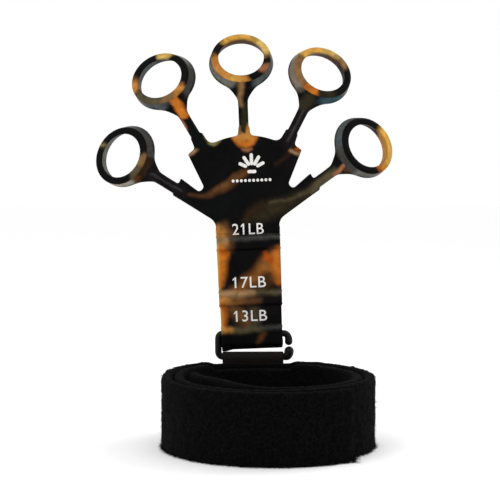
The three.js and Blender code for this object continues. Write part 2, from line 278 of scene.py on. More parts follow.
def gusset_distance(finger, x, y, z):
    """The web that spreads from the arm to both sides of the ring, at the arm's back."""
    reach, width = finger.reach, finger.width
    side, along = finger_local(finger, x, z)
    start = reach - GUSSET_START
    spread = np.clip((along - start) / (GUSSET_START - 13.0), 0, None)
    half = width / 2 - 0.3 + 5.4 * spread ** 1.35
    web = (np.abs(side) - half) * 0.82
    web = smooth_max(web, np.maximum(start - 1 - along, along - reach + 11.6), 0.5)
    y_middle = (ARM_THICKNESS - GUSSET_THICKNESS) / 2
    return smooth_max(web, np.abs(y - y_middle) - GUSSET_THICKNESS / 2, 0.6)


def bore_distance(finger, x, y, z):
    """The finger hole, which also trims the arm and the web where they run into the ring."""
    radius, front = ring_coordinates(finger, x, y, z)
    share = np.clip(front / (2 * RING_HALF) + 0.5, 0, 1)
    return radius - (RING_BACK_INNER + (RING_FRONT_INNER - RING_BACK_INNER) * share)


def finger_distance(finger, x, y, z):
    solid = smooth_min(arm_distance(finger, x, y, z), gusset_distance(finger, x, y, z), 0.7)
    solid = smooth_min(solid, ring_distance(finger, x, y, z), 1.0)
    return smooth_max(solid, -bore_distance(finger, x, y, z), 0.5)


def hand_distance(x, y, z):
    """Signed distance to the whole silicone moulding, in the hand's frame."""
    palm = smooth_max(polygon_distance(x, z, PALM), np.abs(y) - PALM_THICKNESS / 2, 0.9)
    solid = smooth_min(palm, band_distance(x, y, z), 0.8)
    for finger in FINGERS:
        side, along = finger_local(finger, x, z)
        near = (along > -6) & (np.abs(side) < 19)
        if x.ndim == 1:
            if near.any():
                part = finger_distance(finger, x[near], y[near], z[near])
                solid[near] = smooth_min(solid[near], part, 1.4)
            continue
        rows = np.nonzero(near.any(axis=(1, 2)))[0]
        tops = np.nonzero(near.any(axis=(0, 1)))[0]
        block = (slice(rows[0], rows[-1] + 1), slice(None), slice(tops[0], tops[-1] + 1))
        part = finger_distance(finger, x[block], y, z[block])
        solid[block] = smooth_min(solid[block], part, 1.4)
    return solid


def surface_of(distance, low, high, step):
    """Quads on the zero surface of a distance function, with every vertex moved onto it."""
    axes = [np.arange(low[i], high[i] + step, step) for i in range(3)]
    x, y, z = np.meshgrid(*axes, indexing="ij", sparse=True)
    x3, z3 = np.broadcast_arrays(x, z)
    inside = distance(np.ascontiguousarray(x3), y, np.ascontiguousarray(z3)) < 0
    corners = sum(inside[i:i - 1 or None, j:j - 1 or None, k:k - 1 or None].astype(np.int8)
                  for i in (0, 1) for j in (0, 1) for k in (0, 1))
    active = (corners > 0) & (corners < 8)
    index = np.full(active.shape, -1, np.int64)
    index[active] = np.arange(active.sum())
    cells = np.argwhere(active)
    points = np.array(low, float) + (cells + 0.5) * step
    faces = []
    for axis in range(3):
        b, c = (axis + 1) % 3, (axis + 2) % 3
        lower = [slice(None)] * 3
        upper = [slice(None)] * 3
        lower[axis], upper[axis] = slice(None, -1), slice(1, None)
        change = inside[tuple(lower)].astype(np.int8) - inside[tuple(upper)].astype(np.int8)
        at = np.argwhere(change != 0)
        at = at[(at[:, b] > 0) & (at[:, c] > 0)]
        outward = change[tuple(at.T)] > 0
        quad = []
        for db, dc in ((-1, -1), (0, -1), (0, 0), (-1, 0)):
            cell = at.copy()
            cell[:, b] += db
            cell[:, c] += dc
            quad.append(index[tuple(cell.T)])
        quad = np.stack(quad, 1)
        quad[~outward] = quad[~outward][:, ::-1]
        faces.append(quad)
    faces = np.concatenate(faces)
    for _ in range(3):
        points = points - project_step(distance, points)
    return points, faces


def project_step(distance, points, h=0.02):
    value = distance(*[np.ascontiguousarray(c) for c in points.T])
    slope = np.empty_like(points)
    for axis in range(3):
        moved = points.copy()
        moved[:, axis] += h
        slope[:, axis] = (distance(*[np.ascontiguousarray(c) for c in moved.T]) - value) / h
    size = np.maximum((slope ** 2).sum(1), 0.2)
    return slope * (value / size)[:, None]


# ---- materials

def shade(red, green, blue):
    """A colour as the eye reads it, 0 to 255, as the linear numbers that shaders take."""
    def linear(value):
        value /= 255
        return value / 12.92 if value <= 0.04045 else ((value + 0.055) / 1.055) ** 2.4
    return (linear(red), linear(green), linear(blue), 1.0)


class Graph:
    """Short names for the few nodes that the materials use."""

    def __init__(self, name):
        self.material = bpy.data.materials.new(name)
        self.material.use_nodes = True
        self.tree = self.material.node_tree
        self.tree.nodes.clear()
        self.shader = self.node("BsdfPrincipled")
        self.link(self.shader.outputs[0], self.node("OutputMaterial").inputs[0])

    def node(self, kind, **settings):
        made = self.tree.nodes.new("ShaderNode" + kind)
        for key, value in settings.items():
            setattr(made, key, value)
        return made

    def link(self, source, target):
        self.tree.links.new(source, target)

    def attribute(self, name, output="Vector"):
        return self.node("Attribute", attribute_name=name).outputs[output]

    def noise(self, scale, detail=3.0, roughness=0.55, distortion=0.0, over="rest"):
        """Noise over the places that the points have at rest, so that it moves with the piece."""
        made = self.node("TexNoise")
        self.link(self.attribute(over), made.inputs["Vector"])
        settings = {"Scale": scale, "Detail": detail, "Roughness": roughness, "Distortion": distortion}
        for name, value in settings.items():
            made.inputs[name].default_value = value
        return made.outputs["Fac"]

    def ramp(self, value, *stops):
        made = self.node("ValToRGB")
        self.link(value, made.inputs[0])
        elements = made.color_ramp.elements
        while len(elements) < len(stops):
            elements.new(0.5)
        for element, (position, colour) in zip(elements, stops):
            element.position = position
            element.color = colour
        return made.outputs[0]

    def grey_ramp(self, value, *stops):
        return self.ramp(value, *[(place, (level, level, level, 1)) for place, level in stops])

    def feed(self, socket, value):
        """Sets a socket to a constant, or links it to another node's output."""
        if isinstance(value, (int, float, tuple)):
            socket.default_value = value
        else:
            self.link(value, socket)

    def mix(self, factor, a, b, blend="MIX"):
        made = self.node("Mix", data_type="RGBA", blend_type=blend)
        for number, value in ((0, factor), (6, a), (7, b)):
            self.feed(made.inputs[number], value)
        return made.outputs[2]

    def math(self, operation, a, b):
        made = self.node("Math", operation=operation)
        for socket, value in zip(made.inputs, (a, b)):
            self.feed(socket, value)
        return made.outputs[0]

    def bump(self, height, strength, distance):
        made = self.node("Bump")
        made.inputs["Strength"].default_value = strength
        made.inputs["Distance"].default_value = distance
        self.link(height, made.inputs["Height"])
        self.link(made.outputs[0], self.shader.inputs["Normal"])

    def set(self, **values):
        for key, value in values.items():
            self.feed(self.shader.inputs[key.replace("_", " ")], value)
        return self.material


@cache
def silicone_material():
    graph = Graph("marbled_silicone")
    veins = graph.noise(120, detail=5, roughness=0.6, distortion=1.6)
    tone = graph.grey_ramp(veins, (0.36, 0.74), (0.5, 1.0), (0.66, 1.2))
    colour = graph.mix(0.85, graph.attribute("marble", "Color"), tone, "MULTIPLY")
    roughness = graph.grey_ramp(graph.noise(55, detail=2), (0.3, 0.36), (0.7, 0.46))
    graph.bump(graph.noise(2600, detail=2), 0.05, 0.0002)
    return graph.set(Base_Color=colour, Roughness=roughness, Specular_IOR_Level=0.035)


@cache
def plastic_material():
    graph = Graph("buckle_plastic")
    scuff = graph.noise(240, detail=4, distortion=0.8)
    colour = graph.ramp(scuff, (0.35, shade(5, 5, 6)), (0.7, shade(12, 12, 13)))
    roughness = graph.grey_ramp(scuff, (0.3, 0.28), (0.7, 0.42))
    graph.bump(graph.noise(1800), 0.08, 0.0002)
    return graph.set(Base_Color=colour, Roughness=roughness, Specular_IOR_Level=0.14)


@cache
def pile_material():
    graph = Graph("loop_pile")
    tuft = graph.noise(900, detail=4, roughness=0.7)
    fleck = graph.ramp(tuft, (0.35, shade(1, 1, 1)), (0.72, shade(18, 17, 19)))
    patch = graph.grey_ramp(graph.noise(60), (0.3, 0.0), (0.8, 0.5))
    graph.bump(tuft, 0.9, 0.0006)
    return graph.set(Base_Color=graph.mix(patch, fleck, shade(6, 6, 7)), Roughness=0.95,
                     Specular_IOR_Level=0.02, Sheen_Weight=0.012, Sheen_Roughness=0.5)


@cache
def webbing_material(pitch=0.0011):
    """A plain weave on the strip's own coordinates: across its width and along its length, in metres."""
    graph = Graph("strap_webbing")
    parts = graph.node("SeparateXYZ")
    graph.link(graph.attribute("weave"), parts.inputs[0])
    turns = [graph.math("MULTIPLY", parts.outputs[i], 2 * math.pi / pitch) for i in (0, 1)]
    warp, weft = (graph.math("SINE", turn, 0) for turn in turns)
    height = graph.math("ADD", graph.math("MULTIPLY", graph.math("MULTIPLY", warp, weft), 0.5), 0.5)
    fuzz = graph.noise(1500, over="weave")
    both = graph.math("ADD", graph.math("MULTIPLY", height, 0.8), graph.math("MULTIPLY", fuzz, 0.3))
    graph.bump(both, 0.7, 0.0003)
    # Painted shade and highlight: the colour follows the weave's height, darker in its hollows and lighter on
    # its crests, with some random fuzz in the tone.
    colour = graph.ramp(both, (0.2, shade(8, 7, 7)), (0.95, shade(38, 33, 30)))
    return graph.set(Base_Color=colour, Roughness=0.82, Specular_IOR_Level=0.08, Sheen_Weight=0.03)


def speckled_material(name, noise, dark, light, bump=None, **settings):
    """A colour that wanders between two shades. dark and light each give a place on the noise and a shade."""
    graph = Graph(name)
    grain = graph.noise(**noise)
    if bump:
        graph.bump(grain, *bump)
    return graph.set(Base_Color=graph.ramp(grain, dark, light), **settings)


@cache
def fibre_material():
    return speckled_material("pile_fibre", dict(scale=700, detail=2), (0.3, shade(5, 5, 5)),
                             (0.75, shade(30, 28, 31)), Roughness=0.75, Specular_IOR_Level=0.08)


@cache
def thread_material():
    return speckled_material("sewing_thread", dict(scale=3000, detail=2), (0.3, shade(18, 18, 20)),
                             (0.7, shade(48, 48, 52)), (0.4, 0.0001), Roughness=0.55)


@cache
def tape_material():
    return speckled_material("hook_tape", dict(scale=1400), (0.3, shade(16, 16, 18)),
                             (0.7, shade(34, 34, 36)), (0.2, 0.0002), Roughness=0.5)


@cache
def ink_material():
    return speckled_material("print_ink", dict(scale=1500, detail=4, roughness=0.7),
                             (0.28, shade(176, 172, 166)), (0.5, shade(226, 224, 220)), (0.15, 0.0001),
                             Roughness=0.6)


# ---- marbling, with painted highlights and reflections

BLACK = shade(9, 8, 8)
PLUM = shade(20, 16, 18)
PINE = shade(8, 12, 11)
ORANGE = shade(190, 108, 34)
DEEP_ORANGE = shade(168, 76, 16)
AMBER = shade(184, 124, 56)
GOLD = shade(206, 154, 68)
PALE_GOLD = shade(206, 170, 94)
TAN = shade(132, 98, 62)
PALE_TAN = shade(156, 122, 84)
ROSE = shade(150, 98, 68)
COPPER = shade(136, 84, 38)
BROWN = shade(84, 52, 26)
UMBER = shade(104, 70, 40)
DARK_BROWN = shade(46, 30, 17)
OLIVE = shade(44, 38, 24)
PALE_OLIVE = shade(80, 72, 50)
MOSS = shade(132, 120, 72)
# STEEL, TEAL, ASH, CREAM and STONE go only on the rings' walls, where they are partly the silicone's grey and
# partly painted reflection of the white surroundings.
STEEL = shade(78, 84, 84)
TEAL = shade(50, 76, 84)
ASH = shade(104, 101, 95)
# Painted highlight and reflection: this grey stands for light on the arms' ridges, the ribs' top shoulders
# and the rings' walls.
SHEEN_GREY = shade(62, 61, 58)
CREAM = shade(152, 142, 129)
STONE = shade(124, 111, 98)

# Streaks through the palm and band: colour, softness, then points across, up and half as wide.
STREAKS = [
    (BROWN, 1.3, [(-29, 71.4, 0.1), (-23.8, 70.7, 0.4), (-20.5, 70.6, 0.7), (-16.2, 72.3, 1.2),
                  (-12.4, 74, 1.7), (-8.3, 76.4, 2.0), (-4.7, 79.2, 1.9), (0, 81.6, 0.8)]),
    (UMBER, 1.2, [(-16, 72.9, 0.1), (-10.6, 75.8, 0.5), (-5.4, 78.9, 0.6), (-1.5, 81.0, 0.2)]),
    (BROWN, 1.0, [(-6.5, 79.1, 0.3), (-1.8, 82.3, 0.5), (0.8, 83.2, 0.1)]),
    (DARK_BROWN, 1.4, [(15.5, 84.8, 0.1), (20.8, 88.8, 0.4), (23.2, 91.8, 0.6), (26, 97, 0.3)]),
    (PALE_TAN, 0.8, [(23.0, 91.6, 0.5), (25.9, 90.0, 0.6), (29.4, 91.2, 0.6)]),
    (DEEP_ORANGE, 0.6, [(25.6, 92.2, 0.4), (27.6, 92.6, 0.3)]),
    (PALE_TAN, 0.9, [(-28.6, 91.2, 0.5), (-26.2, 92.5, 0.8), (-24.0, 94.0, 0.4)]),
    (MOSS, 0.8, [(-20.2, 99.4, 0.4), (-18.4, 97.3, 0.5), (-15.5, 96.7, 0.6), (-12.6, 97.7, 0.4)]),
    (ORANGE, 1.1, [(-4.4, 98.9, 1.0), (-2, 96.8, 1.4), (1, 95.4, 1.3), (3.8, 97, 1.4), (5.4, 99.2, 1.0)]),
    (AMBER, 1.0, [(-3.6, 99.2, 1.3), (-1, 99.5, 1.7), (3.2, 99.6, 1.6), (4.4, 101.6, 0.8)]),
    (ROSE, 0.8, [(-1.2, 93.4, 0.3), (1.2, 92.4, 0.5), (3.2, 93.2, 0.2)]),
    (OLIVE, 2.6, [(0, 56.5, 0.8), (3.8, 60, 2.6), (9, 62, 3.6), (16, 63.2, 3.6), (22.5, 66.4, 2.4),
                  (30, 69.6, 1.6), (36, 73.5, 1.4)]),
    (DARK_BROWN, 2.0, [(-1.4, 57.6, 0.6), (1.6, 61.2, 1.5), (5.0, 63.8, 1.2), (8.5, 65.2, 0.5)]),
    (PALE_OLIVE, 1.2, [(12, 66.0, 0.0), (19, 66.7, 0.1), (26, 68.6, 0.3), (33, 72.8, 0.8), (40.3, 78, 1.2),
                       (45, 81.0, 0.9)]),
    (UMBER, 2.6, [(-12, 54.6, 1.4), (-11, 50, 3.4), (-11.6, 45, 3.0)]),
    (AMBER, 1.9, [(-14.8, 54.2, 0.8), (-14, 51, 2.0), (-13.8, 47, 2.6), (-14.6, 43.5, 1.6)]),
    (ORANGE, 1.9, [(-14.6, 43.6, 1.4), (-13.6, 39.4, 2.4), (-14, 33, 1.7), (-14.8, 25.6, 0.9)]),
    (DEEP_ORANGE, 1.2, [(-13.4, 41.9, 0.8), (-11.6, 41.2, 0.9)]),
    (GOLD, 1.1, [(-16.2, 52, 0.4), (-16, 46, 1.0), (-16.2, 41, 0.7), (-16.2, 30, 0.7), (-16, 23, 0.7)]),
    (COPPER, 3.0, [(12.4, 38.6, 2.6), (8, 33.4, 3.0), (3, 28.8, 2.6), (-3, 24.6, 1.7), (-7.5, 22.2, 0.6)]),
    (BROWN, 2.6, [(12, 28, 1.4), (6, 25, 2.0), (1, 23.6, 1.0)]),
    (ORANGE, 2.0, [(15.4, 42.4, 0.6), (14.4, 38.4, 2.0), (14.2, 32.4, 2.3), (14.8, 26.6, 1.2)]),
    (DEEP_ORANGE, 1.4, [(8.3, 40.8, 0.5), (9.2, 38.6, 1.4), (11, 37, 1.1)]),
    # Painted highlight along the 21LB rib's top shoulder, tinted with the marble's colours there.
    (SHEEN_GREY, 1.2, [(-12, 48.2, 0.5), (0, 48.5, 0.7), (15.8, 48.8, 0.7)]),
    (PALE_TAN, 1.3, [(-16, 47.8, 1.3), (-11, 48, 0.8)]),
    (AMBER, 1.7, [(-15.8, 17.4, 1.7), (-10, 17.2, 1.2), (-5, 17.3, 0.4)]),
    (UMBER, 2.0, [(-8, 17.2, 1.3), (0, 17.1, 1.0), (4, 17.1, 0.3)]),
    # Painted highlight along the 17LB rib's top shoulder, tinted with the marble's colours there.
    (PALE_OLIVE, 1.3, [(-2, 20.7, 1.0), (8, 20.9, 0.9), (15.8, 21.1, 0.7)]),
    (PALE_TAN, 1.3, [(-16, 20.6, 1.2), (-7, 20.5, 1.1), (1, 20.5, 0.7)]),
    (ORANGE, 1.7, [(-14.6, 13.6, 1.5), (-14.2, 9, 1.7), (-14.6, 4.6, 1.5)]),
    (DEEP_ORANGE, 1.1, [(-14.0, 14.8, 0.8), (-12.6, 12.8, 0.6)]),
    (GOLD, 1.1, [(-15.8, 13, 0.7), (-15.6, 8, 0.9), (-15.4, 3, 1.0)]),
    (UMBER, 2.6, [(-9, 12.6, 2.0), (-5, 9, 2.6), (-2.4, 6, 2.0)]),
    (PALE_OLIVE, 2.6, [(1.6, 12, 0.9), (2.8, 8, 1.3), (1.8, 4.8, 0.9)]),
    # Painted highlight along the 13LB rib's top shoulder, tinted with the marble's colours there.
    (SHEEN_GREY, 1.5, [(3, 2.4, 0.9), (9, 2.7, 0.8), (15.5, 3, 0.6)]),
    (PALE_OLIVE, 1.4, [(-11, 2.3, 1.1), (-2, 2.2, 1.0), (4.6, 2.4, 0.7)]),
    (AMBER, 1.6, [(-15.6, 2.6, 1.2), (-11.0, 2.3, 0.5)]),
    (BROWN, 1.3, [(3.0, -4.2, 0.3), (4.4, -2.0, 0.9), (6.2, 0.0, 0.6)]),
]

# Streaks along each arm: colour, softness, then points across, along and half as wide.
ARM_STREAKS = {
    "outer_left": [
        (PLUM, 1.5, [(0, -3, 3.0), (0, 14, 3.0)]),
        # Painted highlight along the arm's front ridge.
        (SHEEN_GREY, 0.8, [(0.6, -3, 0.05), (0.4, 6, 0.12), (-0.2, 14, 0.05)]),
    ],
    "inner_left": [
        (PINE, 1.5, [(0, -2, 3.0), (0, 12, 3.0)]),
        (ORANGE, 0.7, [(0.2, 14.4, 1.7), (0.4, 20, 2.2), (-0.4, 24, 1.8)]),
        (ROSE, 0.6, [(-2.2, 8, 0.3), (-2.4, 13.5, 0.4)]),
    ],
    "middle": [
        (OLIVE, 1.0, [(0.2, 1, 1.0), (0.4, 10, 1.2), (0.6, 14, 1.0)]),
        (TAN, 1.1, [(-1.0, 14, 0.6), (-1.2, 18, 1.1), (-1.0, 22.5, 1.2), (-0.4, 26, 1.0)]),
        (AMBER, 0.7, [(2.2, -1, 1.0), (2.0, 2.4, 0.7), (2.4, 5, 0.3)]),
        (TAN, 0.7, [(-2.2, 0, 0.8), (-2.3, 3, 0.4)]),
    ],
    "inner_right": [
        (PLUM, 1.4, [(0, -2, 3.0), (0, 14, 3.0)]),
        # Painted highlight along the arm's front ridge.
        (SHEEN_GREY, 0.8, [(-0.3, -2, 0.15), (-0.2, 8, 0.2), (0.2, 15, 0.15)]),
        (OLIVE, 1.4, [(-1, 17, 2.0), (0, 21, 3.0)]),
    ],
    "outer_right": [
        (PALE_OLIVE, 0.9, [(1.6, -4, 1.3), (1.5, 4, 1.4), (1.4, 9, 1.2)]),
        (ROSE, 0.7, [(1.7, 9, 0.7), (1.8, 13, 1.0), (1.2, 17.4, 0.7)]),
        (BROWN, 0.8, [(3.6, 15.2, 0.7), (4.4, 18, 0.7)]),
    ],
}

# Patches on each ring: the part of the ring, clock angles from and to, and the colour. The grey and cream
# patches on the outer and inner walls are partly the silicone's own grey and partly painted reflection of the
# white surroundings.
RING_PATCHES = {
    "outer_left": [
        ("outer", -40, 100, SHEEN_GREY), ("outer", -45, 20, ASH), ("rim", -69, -56, MOSS), ("rim", 92, 130, TAN),
        ("rim", 124, 168, PALE_OLIVE), ("outer", 100, 140, DARK_BROWN), ("outer", 138, 160, BROWN),
        ("outer", 158, 222, CREAM), ("inner", 225, 335, ASH),
    ],
    "inner_left": [
        ("outer", 10, 128, SHEEN_GREY), ("outer", 20, 64, ASH), ("rim", -6, 21, PALE_GOLD),
        ("rim", 256, 281, AMBER), ("rim", 182, 256, PALE_OLIVE), ("rim", 148, 192, TAN),
        ("rim", 106, 152, AMBER), ("outer", 170, 246, STEEL), ("inner", 250, 345, STEEL),
        ("outer", -6, 18, GOLD),
    ],
    "middle": [
        ("rim", 164, 284, AMBER), ("rim", 182, 226, GOLD), ("rim", -38, 36, GOLD),
        ("rim", 34, 84, PALE_GOLD), ("rim", 102, 126, ROSE), ("rim", 284, 320, PLUM),
        ("outer", 196, 270, ASH), ("outer", 84, 160, STEEL), ("inner", 300, 420, BROWN),
        ("outer", -30, 84, AMBER),
    ],
    "inner_right": [
        ("rim", -44, 22, GOLD), ("rim", 12, 52, PALE_GOLD), ("rim", 50, 82, TAN), ("rim", 150, 204, OLIVE),
        ("rim", 198, 246, ORANGE), ("rim", 240, 316, TAN), ("outer", 232, 322, STONE),
        ("outer", 140, 190, TEAL), ("outer", 84, 140, ASH), ("inner", -60, 60, BROWN),
    ],
    "outer_right": [
        ("outer", 206, 330, SHEEN_GREY), ("outer", 268, 330, STEEL), ("rim", 128, 152, ORANGE),
        ("rim", 44, 134, GOLD), ("outer", 48, 136, GOLD), ("outer", 138, 210, ASH),
        ("inner", 46, 140, AMBER),
    ],
}


def streak_amount(x, z, points, softness):
    """How much of a streak shows at each place, from 0 to 1."""
    best = np.full(x.shape, 1e9)
    for (ax, az, aw), (bx, bz, bw) in zip(points, points[1:]):
        ex, ez = bx - ax, bz - az
        t = np.clip(((x - ax) * ex + (z - az) * ez) / (ex * ex + ez * ez), 0, 1)
        reach = np.hypot(x - ax - t * ex, z - az - t * ez) - (aw + (bw - aw) * t)
        best = np.minimum(best, reach)
    return 1 - smoothstep(-softness * 0.9, softness * 1.4, best)


def paint(colours, amount, colour):
    colours += (np.array(colour[:3]) - colours) * amount[:, None]


def marble_and_sheen_colours(points):
    """The colour of the silicone at each point of the hand, in millimetres of the hand's frame, with painted
    highlights on the ribs and arms and painted reflection on the rings' walls.
    """
    x, y, z = points.T
    warp_a = noise_at(points, 7.0, 1)
    warp_b = noise_at(points, 7.0, 2)
    fine = noise_at(points, 2.4, 3)
    wx, wz = x + warp_a * 0.9 + fine * 0.3, z + warp_b * 0.9 + fine * 0.3
    colours = np.tile(np.array(BLACK[:3]), (len(points), 1))
    tint = noise_at(points, 26.0, 4)
    paint(colours, smoothstep(0.05, 0.5, tint) * 0.7, PLUM)
    paint(colours, smoothstep(0.05, 0.5, -tint) * 0.7, PINE)
    # The far side carries streaks of its own.
    behind = smoothstep(0.4, 1.4, y)
    for finger in FINGERS:
        _, front, on_ring = ring_places(finger, x, y, z)
        behind = np.where(on_ring, 1 - smoothstep(-RING_HALF + 0.1, -RING_HALF + 0.9, front), behind)
    along, over = x * 0.5 + z * 0.86, x * 0.86 - z * 0.5
    bent = over + 5 * np.sin(along / 13) + warp_b * 2.5
    swirl = noise_at(np.stack([bent, y * 2, along * 0.26 + warp_a], 1), 8.0, 6)
    haze = noise_at(np.stack([bent * 0.8, y * 2, along * 0.3 + warp_b], 1), 11.0, 8)
    paint(colours, smoothstep(0.2, 0.6, haze) * behind * 0.7, OLIVE)
    paint(colours, smoothstep(0.08, 0.36, swirl) * behind * 0.8, UMBER)
    paint(colours, smoothstep(0.2, 0.46, swirl) * behind, ORANGE)
    paint(colours, smoothstep(0.4, 0.62, swirl) * behind * 0.9, GOLD)
    ahead = 1 - behind * 0.85
    for colour, softness, line in STREAKS:
        paint(colours, streak_amount(wx, wz, line, softness) * ahead, colour)
    for finger in FINGERS:
        side, along = finger_local(finger, wx, wz)
        for colour, softness, line in ARM_STREAKS[finger.name]:
            paint(colours, streak_amount(side, along, line, softness) * ahead, colour)
    for finger in FINGERS:
        paint_ring(colours, points, finger, warp_a * 11 + fine * 5)
    smoke = noise_at(np.stack([x + warp_a * 4, y, z + warp_b * 4], 1), 5.0, 7)
    return colours * (0.86 + 0.22 * smoke)[:, None]


def ring_places(finger, x, y, z):
    """Ring coordinates, and which of the points are on the ring itself."""
    radius, front = ring_coordinates(finger, x, y, z)
    return radius, front, (np.abs(front) < RING_HALF + 0.4) & (radius < RING_BACK_OUTER + 0.8)


def paint_ring(colours, points, finger, wander):
    x, y, z = points.T
    radius, front, on_ring = ring_places(finger, x, y, z)
    clock = np.degrees(np.arctan2(x - finger.x, z - finger.z)) + wander + front * 1.2
    middle = (RING_FRONT_OUTER + RING_FRONT_INNER) / 2 + (RING_HALF - front) * 0.3
    rim = smoothstep(RING_HALF - 1.3, RING_HALF - 0.7, front)
    shares = {
        "rim": rim,
        "outer": (1 - rim) * smoothstep(-0.4, 0.4, radius - middle),
        "inner": (1 - rim) * smoothstep(-0.4, 0.4, middle - radius),
    }
    # The walls darken towards the back edge, and the rim towards the hole.
    shares["outer"] = shares["outer"] * smoothstep(-RING_HALF + 0.4, -RING_HALF + 2.6, front)
    shares["rim"] = shares["rim"] * (1 - 0.45 * smoothstep(1.4, -0.2, radius - RING_FRONT_INNER))
    for zone, start, end, colour in RING_PATCHES[finger.name]:
        half = (end - start) / 2
        offset = np.abs((clock - (start + end) / 2 + 180) % 360 - 180)
        amount = (1 - smoothstep(half - 12, half + 7, offset)) * shares[zone] * on_ring
        paint(colours, amount, colour)


# ---- cutting the moulding where the bodies meet

# Where an arm begins, from its root; where the palm's bend ends in it; and how far from its ring's centre
# the arm's stretch ends.
ROOT_CUT, ARM_BEND_END, RING_NECK = -2.0, 4.2, 15.5

# Only faces this near to a cut are looked at.
CUT_REACH = 1.5


def arm_split(finger):
    """Where an arm's piece ends and its ring's piece begins, from the arm's root."""
    return (finger.reach - GUSSET_START) / 2


def local_plane(finger, along):
    """A point and the direction of the plane square to an arm, at that distance from its root."""
    turn = math.radians(finger.angle)
    direction = Vector((math.sin(turn), 0, math.cos(turn)))
    root = Vector((finger.x, 0, finger.z)) - direction * finger.reach
    return root + direction * along, direction


def cut_moulding(bm, place, direction, wanted):
    faces = [f for f in bm.faces if wanted(f.calc_center_median())]
    geometry = list({v for f in faces for v in f.verts} | {e for f in faces for e in f.edges} | set(faces))
    bmesh.ops.bisect_plane(bm, geom=geometry, plane_co=place, plane_no=direction, dist=1e-5)


def owner_of(x, z):
    """Which piece of the moulding a place belongs to."""
    for finger in FINGERS:
        side, along = finger_local(finger, x, z)
        on_arm, on_ring = abs(side) < 9, math.hypot(side, along - finger.reach) < 21
        if along > arm_split(finger) and (on_arm or on_ring):
            return finger.name + "_ring"
        if along > ROOT_CUT and on_arm:
            return finger.name + "_arm"
    return next((name for name, height in BAND_CUTS.items() if z < height), "palm")


def make_moulding():
    """The silicone hand, as one skin per piece, with each cut closed flat."""
    step = 0.42
    low, high = (-80.0, -7.0, -10.5), (80.0, 22.0, 157.5)
    points, faces = surface_of(hand_distance, low, high, step)
    mesh = bpy.data.meshes.new("moulding")
    mesh.from_pydata(points.tolist(), [], faces.tolist())
    with editing(mesh) as bm:
        for height in BAND_CUTS.values():
            cut_moulding(bm, Vector((0, 0, height)), Vector((0, 0, 1)),
                         lambda c: abs(c.z - height) < CUT_REACH)
        for finger in FINGERS:
            for along in (ROOT_CUT, arm_split(finger)):
                place, direction = local_plane(finger, along)

                def near(c):
                    side, distance = finger_local(finger, c.x, c.z)
                    return abs(side) < 9.5 and abs(distance - along) < CUT_REACH
                cut_moulding(bm, place, direction, near)
    owners = {}
    for polygon in mesh.polygons:
        owners.setdefault(owner_of(polygon.center.x, polygon.center.z), []).append(list(polygon.vertices))
    places = places_of(mesh)
    colours = marble_and_sheen_colours(places)
    pieces = {}
    for name, polygons in owners.items():
        used = sorted({v for polygon in polygons for v in polygon})
        number = {old: new for new, old in enumerate(used)}
        own = [hand_point(*places[v]) for v in used]
        faces = [[number[v] for v in polygon] for polygon in polygons]
        piece = new_object(name + "_skin", own, faces, silicone_material())
        # These colours include painted highlights on the ribs and arms and painted reflection on the rings'
        # walls.
        attribute = piece.data.color_attributes.new("marble", "FLOAT_COLOR", "POINT")
        attribute.data.foreach_set("color", np.append(colours[used], np.ones((len(used), 1)), 1).ravel())
        close_cuts(piece)
        pieces[name] = piece
    return pieces


def close_cuts(piece):
    with editing(piece.data) as bm:
        rim = [edge for edge in bm.edges if edge.is_boundary]
        filled = bmesh.ops.holes_fill(bm, edges=rim, sides=0)["faces"]
        flatten(filled)
        bmesh.ops.triangulate(bm, faces=filled)


# ---- bent rods and wound strips

def rod_mesh(path, radii, around, seam=0.0):
    """A round rod along a list of points, with rounded ends and a faint moulding line on both sides."""
    points = [Vector(p) for p in path]
    radii = np.broadcast_to(radii, len(points))
    vertices, faces = [], []
    side = Vector((0, 1, 0))
    cap_steps = 5

    def cap(end, beside, radius, facing):
        outward = (end - beside).normalized()
        angles = [math.pi / 2 * k / (cap_steps + 0.5) for k in range(1, cap_steps + 1)]
        return [(end + outward * radius * math.sin(angle), outward * facing, math.cos(angle) * radius)
                for angle in angles]
    rings = cap(points[0], points[1], radii[0], -1)[::-1]
    for i, point in enumerate(points):
        ahead = points[min(i + 1, len(points) - 1)] - points[max(i - 1, 0)]
        rings.append((point, ahead.normalized(), radii[i]))
    rings += cap(points[-1], points[-2], radii[-1], 1)
    for point, ahead, radius in rings:
        across = side.cross(ahead).normalized()
        for k in range(around):
            turn = 2 * math.pi * k / around
            reach = radius * (1 + seam * math.exp(-(math.sin(turn) / 0.09) ** 2))
            vertices.append(point + (across * math.cos(turn) + side * math.sin(turn)) * reach)
    for i in range(len(rings) - 1):
        for k in range(around):
            a, b = i * around + k, i * around + (k + 1) % around
            faces.append((a, b, b + around, a + around))
    faces.append(tuple(reversed(range(around))))
    faces.append(tuple(range((len(rings) - 1) * around, len(rings) * around)))
    return vertices, faces


def arc_points(start, corner, end, steps):
    a, c, b = Vector(start), Vector(corner), Vector(end)
    return [a * (1 - t) ** 2 + c * 2 * t * (1 - t) + b * t * t for t in (k / steps for k in range(steps + 1))]


# ---- strap, tab and buckle

STRAP_CENTRE = (11.8, -5.9)
STRAP_HEIGHT = 34.0
STRAP_HALF = 2.3
STRAP_START_ANGLE, STRAP_START_RADIUS, STRAP_PITCH = 215, 37.4, 5.6
STRAP_WIDENING = 1.04
STRAP_BACK_FLATTENING, FLAT_BLEND, FIRST_BACK_TURN = 5.5, 1.2, 0.6528
STRAP_JOIN_TURN = 2.19
FREE_END_TURN = 2.27
FLAP_INNER_OFFSET = -1.6
